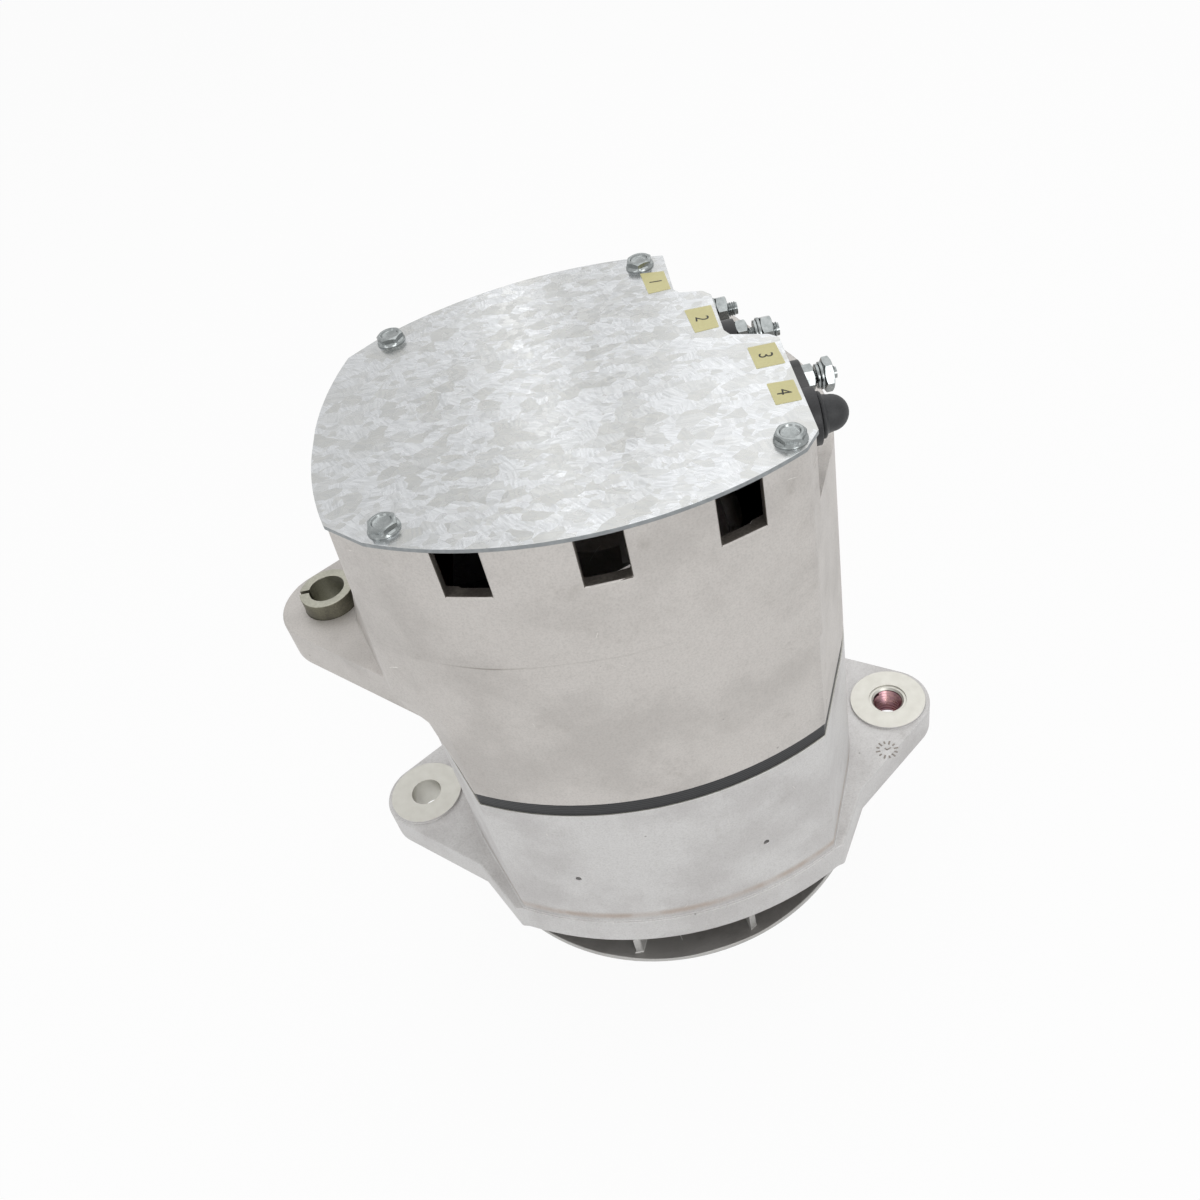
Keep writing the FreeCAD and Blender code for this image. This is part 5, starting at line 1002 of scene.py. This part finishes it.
class ALTERNATOR_OT_signal_terminals(Operator):
    """Makes the terminal block with its two signal studs, their nuts and washers and the rubber cap"""
    bl_idname = "alternator.signal_terminals"
    bl_label = "Signal terminals"

    def execute(self, context):
        settings = context.scene.alternator_terminals
        softened("signal_block", "terminal_block", lambda edge: 0.4 * MM, 2, ["black_plastic"],
                 "housing")
        softened("signal_washer_pair", "signal_washers", lambda edge: 0.14 * MM, 2, ["zinc"],
                 "housing")
        low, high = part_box("signal_nuts")
        cap_low, cap_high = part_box("terminal_cap")
        washers = (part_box("signal_washers")[0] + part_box("signal_washers")[1]) / 2
        open_y, capped_y = washers.y, (cap_low.y + cap_high.y) / 2
        outer = 2.9
        parts = [stand(nut(flats, thick, 2.0), (x, y, washers.z), "x") for flats, thick, x, y in (
            (SMALL_FLATS, 3.7, low.x, open_y), (LARGE_FLATS, outer, high.x - outer * MM, open_y),
            (SMALL_FLATS, 2.0, low.x, capped_y))]
        nuts = new_piece("signal_hexagon_nuts", gathered(parts), ["zinc"], "housing")
        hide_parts("signal_nuts")
        ends = (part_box("signal_studs")[1].x - 0.2 * MM, low.x + 5.2 * MM)
        threaded("signal_threaded_studs", "signal_studs",
                 [((0.0, y, washers.z), low.x - 1 * MM, end) for y, end in zip((open_y, capped_y), ends)],
                 "x", 2.1 * MM, settings.thread_depth, settings.signal_pitch, ["zinc"], "housing")
        # The cap's profile in mm: hollow for the stud, room for the nut, rims and dome.
        flange = (cap_high.y - cap_low.y) / 2 / MM
        long = (cap_high.x - cap_low.x) / MM
        wall = flange - 1.2
        dome = wall * 0.94
        top = long - dome
        room = SMALL_FLATS / math.sqrt(3) + 0.4
        profile = [(0, 7.2), (2.2, 7.2), (2.6, 6.6), (2.6, 3.2), (room, 3.1), (room, 0), (flange - 0.2, 0),
                   (flange, 0.25), (flange, 0.9), (flange - 0.3, 1.25), (wall + 0.35, 1.4), (wall, 1.9),
                   (wall * 0.99, top * 0.6)]
        profile += [(dome * math.cos(math.radians(a)), top + dome * math.sin(math.radians(a)))
                    for a in range(0, 90, 10)]
        cap = stand(spun(profile + [(0, long)], 64), (cap_low.x, capped_y, washers.z), "x")
        boot = new_piece("rubber_terminal_cap", cap, ["rubber"], "cap", 40)
        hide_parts("terminal_cap")
        return {"FINISHED"}


# Lugs

def bushing_radius(edge):
    """The slit keeps its sawn corners."""
    point = middle(edge)
    return 0.0 if abs(point.y) < 1.2 * MM and point.x < -REACH else 0.4 * MM


def bushing_paint(face):
    """The ends and the bore are bright."""
    bore = near_axis(face.calc_center_median(), -REACH) < 7.5 * MM
    return 1 if abs(face.normal.z) > 0.9 or bore else 0


class ALTERNATOR_OT_lug_fittings(Operator):
    """Makes the split bushing of the rear lug and the steel thread insert of the ear"""
    bl_idname = "alternator.lug_fittings"
    bl_label = "Lug fittings"

    def execute(self, context):
        softened("split_bushing", "hinge_bushing", bushing_radius, 2, ["bushing", "bushing_face"], "bushing",
                 bushing_paint)
        low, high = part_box("ear_thread_insert")
        long = (high.z - low.z) / MM
        radius = (high.y - low.y) / 2 / MM
        root = 6.05
        ring = spun([(root, 0), (radius, 0), (radius, long), (root + 0.75, long), (root, long - 0.9)], 64)
        # The ring's top faces are machined. Its other faces, among them the bore wall between the ridges, take
        # the painted shade of the thread root.
        for face in ring.faces:
            face.material_index = 1 if face.normal.z > 0.3 else 2
        ridge = thread(5.4 * MM, 0.65 * MM, 1.75 * MM, 0.4 * MM, (long - 1.6) * MM, inward=True)
        piece = placed("threaded_ear_insert", stand(gathered([ring, ridge]), (REACH, 0.0, low.z)),
                       ["passivated", "machined", "shaded_thread_grooves"], "housing")
        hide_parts("ear_thread_insert")
        return {"FINISHED"}


class ALTERNATOR_OT_foundry_mark(Operator):
    """Raises the round date dial of the casting on the ear: twelve plain ticks and two hands"""
    bl_idname = "alternator.foundry_mark"
    bl_label = "Foundry dial"

    def execute(self, context):
        # Length, width and distance from the middle in mm, and the turn
        bars = [(1.9 - 0.5 * (index % 2), 0.75, 3.75, index * math.pi / 6) for index in range(12)]
        bars += [(2.2, 0.6, 0.88, 0.4), (1.4, 0.6, 0.56, 2.1)]
        parts = []
        for length, width, away, turn in bars:
            bar = bmesh.new()
            bmesh.ops.create_cube(bar, size=1.0)
            bmesh.ops.scale(bar, vec=(length * MM, width * MM, 0.22 * MM), verts=bar.verts)
            bmesh.ops.bevel(bar, geom=bar.edges, offset=0.08 * MM, segments=1, profile=0.5,
                            affect="EDGES", material=-1)
            bmesh.ops.translate(bar, verts=bar.verts, vec=(away * MM, 0, 0))
            parts.append(stand(bar, (0, 0, 0), spin=turn))
        new_piece("foundry_date_dial", stand(gathered(parts), DIAL_PLACE), ["dial"], "housing")
        return {"FINISHED"}


# Turning parts

class ALTERNATOR_OT_rotor(Operator):
    """Rounds the cast fan and cuts the thread on the shaft's end"""
    bl_idname = "alternator.rotor"
    bl_label = "Fan and shaft"

    def execute(self, context):
        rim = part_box("fan")[1].x - 1.5 * MM

        def paint(face):
            """The rim and the upright sides are turned."""
            on_rim = all(near_axis(corner.co, 0) > rim for corner in face.verts)
            return 1 if on_rim or abs(face.normal.z) < 0.5 else 0

        softened("fan_wheel", "fan", lambda edge: 0.7 * MM, 3, ["fan_casting", "fan_rim"], "rotor",
                 paint)
        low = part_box("rotor_shaft")[0].z
        threaded("threaded_shaft", "rotor_shaft", [((0.0, 0.0, 0.0), low + 0.4 * MM, low + 21.5 * MM)], "z",
                 7.9 * MM, 0.9 * MM, 1.5 * MM, ["turned"], "rotor")
        return {"FINISHED"}


# Labels

class ALTERNATOR_OT_labels(Operator):
    """Sticks the four yellow film labels beside the terminals, with plain marks in place of words"""
    bl_idname = "alternator.labels"
    bl_label = "Labels"

    def execute(self, context):
        settings = context.scene.alternator_labels
        level = COVER_TOP + settings.film
        films = []
        prints = []
        for corners, mark in zip(LABELS, settings.marks):
            film = bmesh.new()
            film.faces.new([film.verts.new((x * MM, y * MM, level)) for x, y in reversed(corners)])
            bmesh.ops.bevel(film, geom=film.verts, offset=0.3 * MM, segments=2, profile=0.5,
                            affect="VERTICES", material=-1)
            grown = bmesh.ops.extrude_face_region(film, geom=film.faces)["geom"]
            bmesh.ops.translate(film, verts=[g for g in grown if isinstance(g, bmesh.types.BMVert)],
                                vec=(0, 0, -settings.film - 0.01 * MM))
            bmesh.ops.recalc_face_normals(film, faces=film.faces)
            films.append(film)
            centre = sum((Vector((x, y, 0)) for x, y in corners), Vector()) * (MM / 4)
            prints.append(printed(mark, settings.mark_height, centre, level))
        new_piece("terminal_labels", gathered(films), ["label"], "housing")
        new_piece("terminal_marks", gathered(prints), ["ink"], "housing")
        return {"FINISHED"}


def printed(mark, height, centre, level):
    """One printed character, turned to read along the row of terminals."""
    curve = bpy.data.curves.new("mark", "FONT")
    curve.body = mark
    curve.size = height * 1.35
    curve.align_x = "CENTER"
    curve.align_y = "CENTER"
    curve.extrude = 0.01 * MM
    writing = bpy.data.objects.new("mark", curve)
    bpy.context.scene.collection.objects.link(writing)
    mesh = bpy.data.meshes.new_from_object(writing.evaluated_get(bpy.context.evaluated_depsgraph_get()))
    bpy.data.objects.remove(writing)
    bm = bmesh.new()
    bm.from_mesh(mesh)
    bpy.data.meshes.remove(mesh)
    x, y = flat_centre(bm.verts)
    bmesh.ops.translate(bm, verts=bm.verts, vec=(-x, -y, 0))
    return stand(bm, (centre.x, centre.y, level + 0.012 * MM), spin=math.radians(-96))


# Parts that stay as the CAD gives them

KEPT = {
    "cast_aluminium": "inner_casting", "galvanised_sheet": "galvanised", "zinc_plated_steel": "zinc",
    "stacked_laminations": "laminations", "enamelled_copper": "windings", "plain_copper": "copper",
    "bearing_steel": "ground", "dark_steel": "pole_steel", "turned_steel": "turned", "seal_rubber": "rubber",
    "moulded_plastic": "black_plastic", "coil_bobbin_plastic": "bobbin", "gold_plated_thread": "passivated",
    "fan_casting": "fan_casting",
}


class ALTERNATOR_OT_inner_parts(Operator):
    """Gives every part that keeps its CAD shape its real finish"""
    bl_idname = "alternator.inner_parts"
    bl_label = "Inner parts"

    def execute(self, context):
        slots = {part["node"]: part["material_slot"] for part in frame["record"]["subparts"]}
        for name, node in nodes.items():
            finish = finish_of("potting" if name == "voltage_regulator" else KEPT[slots[name]])
            if len(node.data.materials) == 0:
                node.data.materials.append(finish)
            for slot in node.material_slots:
                slot.material = finish
        return {"FINISHED"}


# Stage

def pale(tree):
    """How far a ray is one of the camera, of a reflection or through glass: only these see the glow."""
    path = add(tree, "ShaderNodeLightPath").outputs
    either = add(tree, "ShaderNodeMath", {0: path["Is Camera Ray"], 1: path["Is Glossy Ray"]},
                 operation="MAXIMUM")
    return add(tree, "ShaderNodeMath", {0: either, 1: path["Is Transmission Ray"]}, operation="MAXIMUM")


def paper(colour):
    """Seamless paper backdrop: an even pale ground with a faint shadow and no edge."""
    material, tree, place = new_material("Paper seamless backdrop")
    fibre = add(tree, "ShaderNodeTexNoise", {"Vector": place, "Scale": 1 / 0.02, "Detail": 2.0})
    tone = add(tree, "ShaderNodeMix", zip(MIX, (fibre, shade(colour), shade("#fafafa"))), **RGBA)
    matt = add(tree, "ShaderNodeBsdfDiffuse", {"Color": tone})
    glow = add(tree, "ShaderNodeEmission", {"Color": shade(colour), "Strength": 1.0})
    part = add(tree, "ShaderNodeMath", {0: pale(tree), 1: 0.94}, operation="MULTIPLY")
    mixed = add(tree, "ShaderNodeMixShader", {0: part, 1: matt, 2: glow})
    add(tree, "ShaderNodeOutputMaterial", {"Surface": mixed})
    return material


def lamp(name, place, target, width, height, watts):
    """A softbox that looks at its target."""
    light = bpy.data.lights.new(name, "AREA")
    light.shape = "RECTANGLE"
    light.size = width
    light.size_y = height
    light.energy = watts
    box = bpy.data.objects.new(name, light)
    box.location = place
    box.rotation_euler = (Vector(target) - Vector(place)).to_track_quat("-Z", "Y").to_euler()
    bpy.context.scene.collection.objects.link(box)


class ALTERNATOR_OT_stage(Operator):
    """Lays the pale floor, the soft studio light and the camera"""
    bl_idname = "alternator.stage"
    bl_label = "Stage"

    def execute(self, context):
        scene = context.scene
        settings = scene.alternator_stage
        bm = bmesh.new()
        bmesh.ops.create_circle(bm, cap_ends=True, radius=6.0, segments=96)
        bmesh.ops.translate(bm, verts=bm.verts, vec=(0, 0, CAD_BOUNDS[0][2] - 2 * MM))
        floor = new_object("floor", bm, [])
        floor.data.materials.append(paper(settings.floor))

        scene.world = bpy.data.worlds.new("Studio")
        scene.world.use_nodes = True
        sky = scene.world.node_tree
        sky.nodes.clear()
        even, white = [add(sky, "ShaderNodeBackground", {"Color": shade("#ffffff"), "Strength": strength})
                       for strength in (settings.ambient, 1.0)]
        mix = add(sky, "ShaderNodeMixShader", {0: pale(sky), 1: even, 2: white})
        add(sky, "ShaderNodeOutputWorld", {"Surface": mix})
        for name, place, target, width, height, watts in LAMPS:
            lamp(name, place, target, width, height, settings.key if watts is None else watts)

        lens = bpy.data.cameras.new("camera")
        lens.sensor_width = SENSOR
        lens.lens = LENS
        lens.clip_start = 10 * MM
        camera = bpy.data.objects.new("camera", lens)
        scene.collection.objects.link(camera)
        turn = Matrix((CAMERA_RIGHT, -CAMERA_DOWN, -CAMERA_FORWARD)).transposed()
        camera.matrix_world = Matrix.Translation(CAMERA_PLACE) @ turn.to_4x4()
        scene.camera = camera
        scene.view_settings.view_transform = "Standard"
        return {"FINISHED"}


class ALTERNATOR_PT_panel(Panel):
    """The steps in the order that they are run"""
    bl_label = "Alternator"
    bl_idname = "ALTERNATOR_PT_panel"
    bl_space_type = "VIEW_3D"
    bl_region_type = "UI"
    bl_category = "Alternator"

    def draw(self, context):
        for step in STEPS:
            self.layout.operator(step.bl_idname)
        for group in SETTINGS:
            values = getattr(context.scene, group)
            for key in values.bl_rna.properties.keys():
                if key not in ("rna_type", "name"):
                    self.layout.prop(values, key)


SETTINGS = {
    "alternator_castings": CastingSettings,
    "alternator_cover": CoverSettings,
    "alternator_terminals": TerminalSettings,
    "alternator_labels": LabelSettings,
    "alternator_stage": StageSettings,
}
STEPS = [ALTERNATOR_OT_stage, ALTERNATOR_OT_inner_parts, ALTERNATOR_OT_castings, ALTERNATOR_OT_cover,
         ALTERNATOR_OT_cover_screws, ALTERNATOR_OT_power_terminals, ALTERNATOR_OT_signal_terminals,
         ALTERNATOR_OT_lug_fittings, ALTERNATOR_OT_foundry_mark, ALTERNATOR_OT_rotor, ALTERNATOR_OT_labels]


def register():
    for group in SETTINGS.values():
        bpy.utils.register_class(group)
    for name, group in SETTINGS.items():
        setattr(bpy.types.Scene, name, PointerProperty(type=group))
    for step in STEPS + [ALTERNATOR_PT_panel]:
        bpy.utils.register_class(step)


def unregister():
    for step in reversed(STEPS + [ALTERNATOR_PT_panel]):
        bpy.utils.unregister_class(step)
    for name, group in SETTINGS.items():
        delattr(bpy.types.Scene, name)
        bpy.utils.unregister_class(group)


def main():
    register()
    for step in STEPS:
        group, name = step.bl_idname.split(".")
        getattr(getattr(bpy.ops, group), name)()


if __name__ == "__main__":
    main()
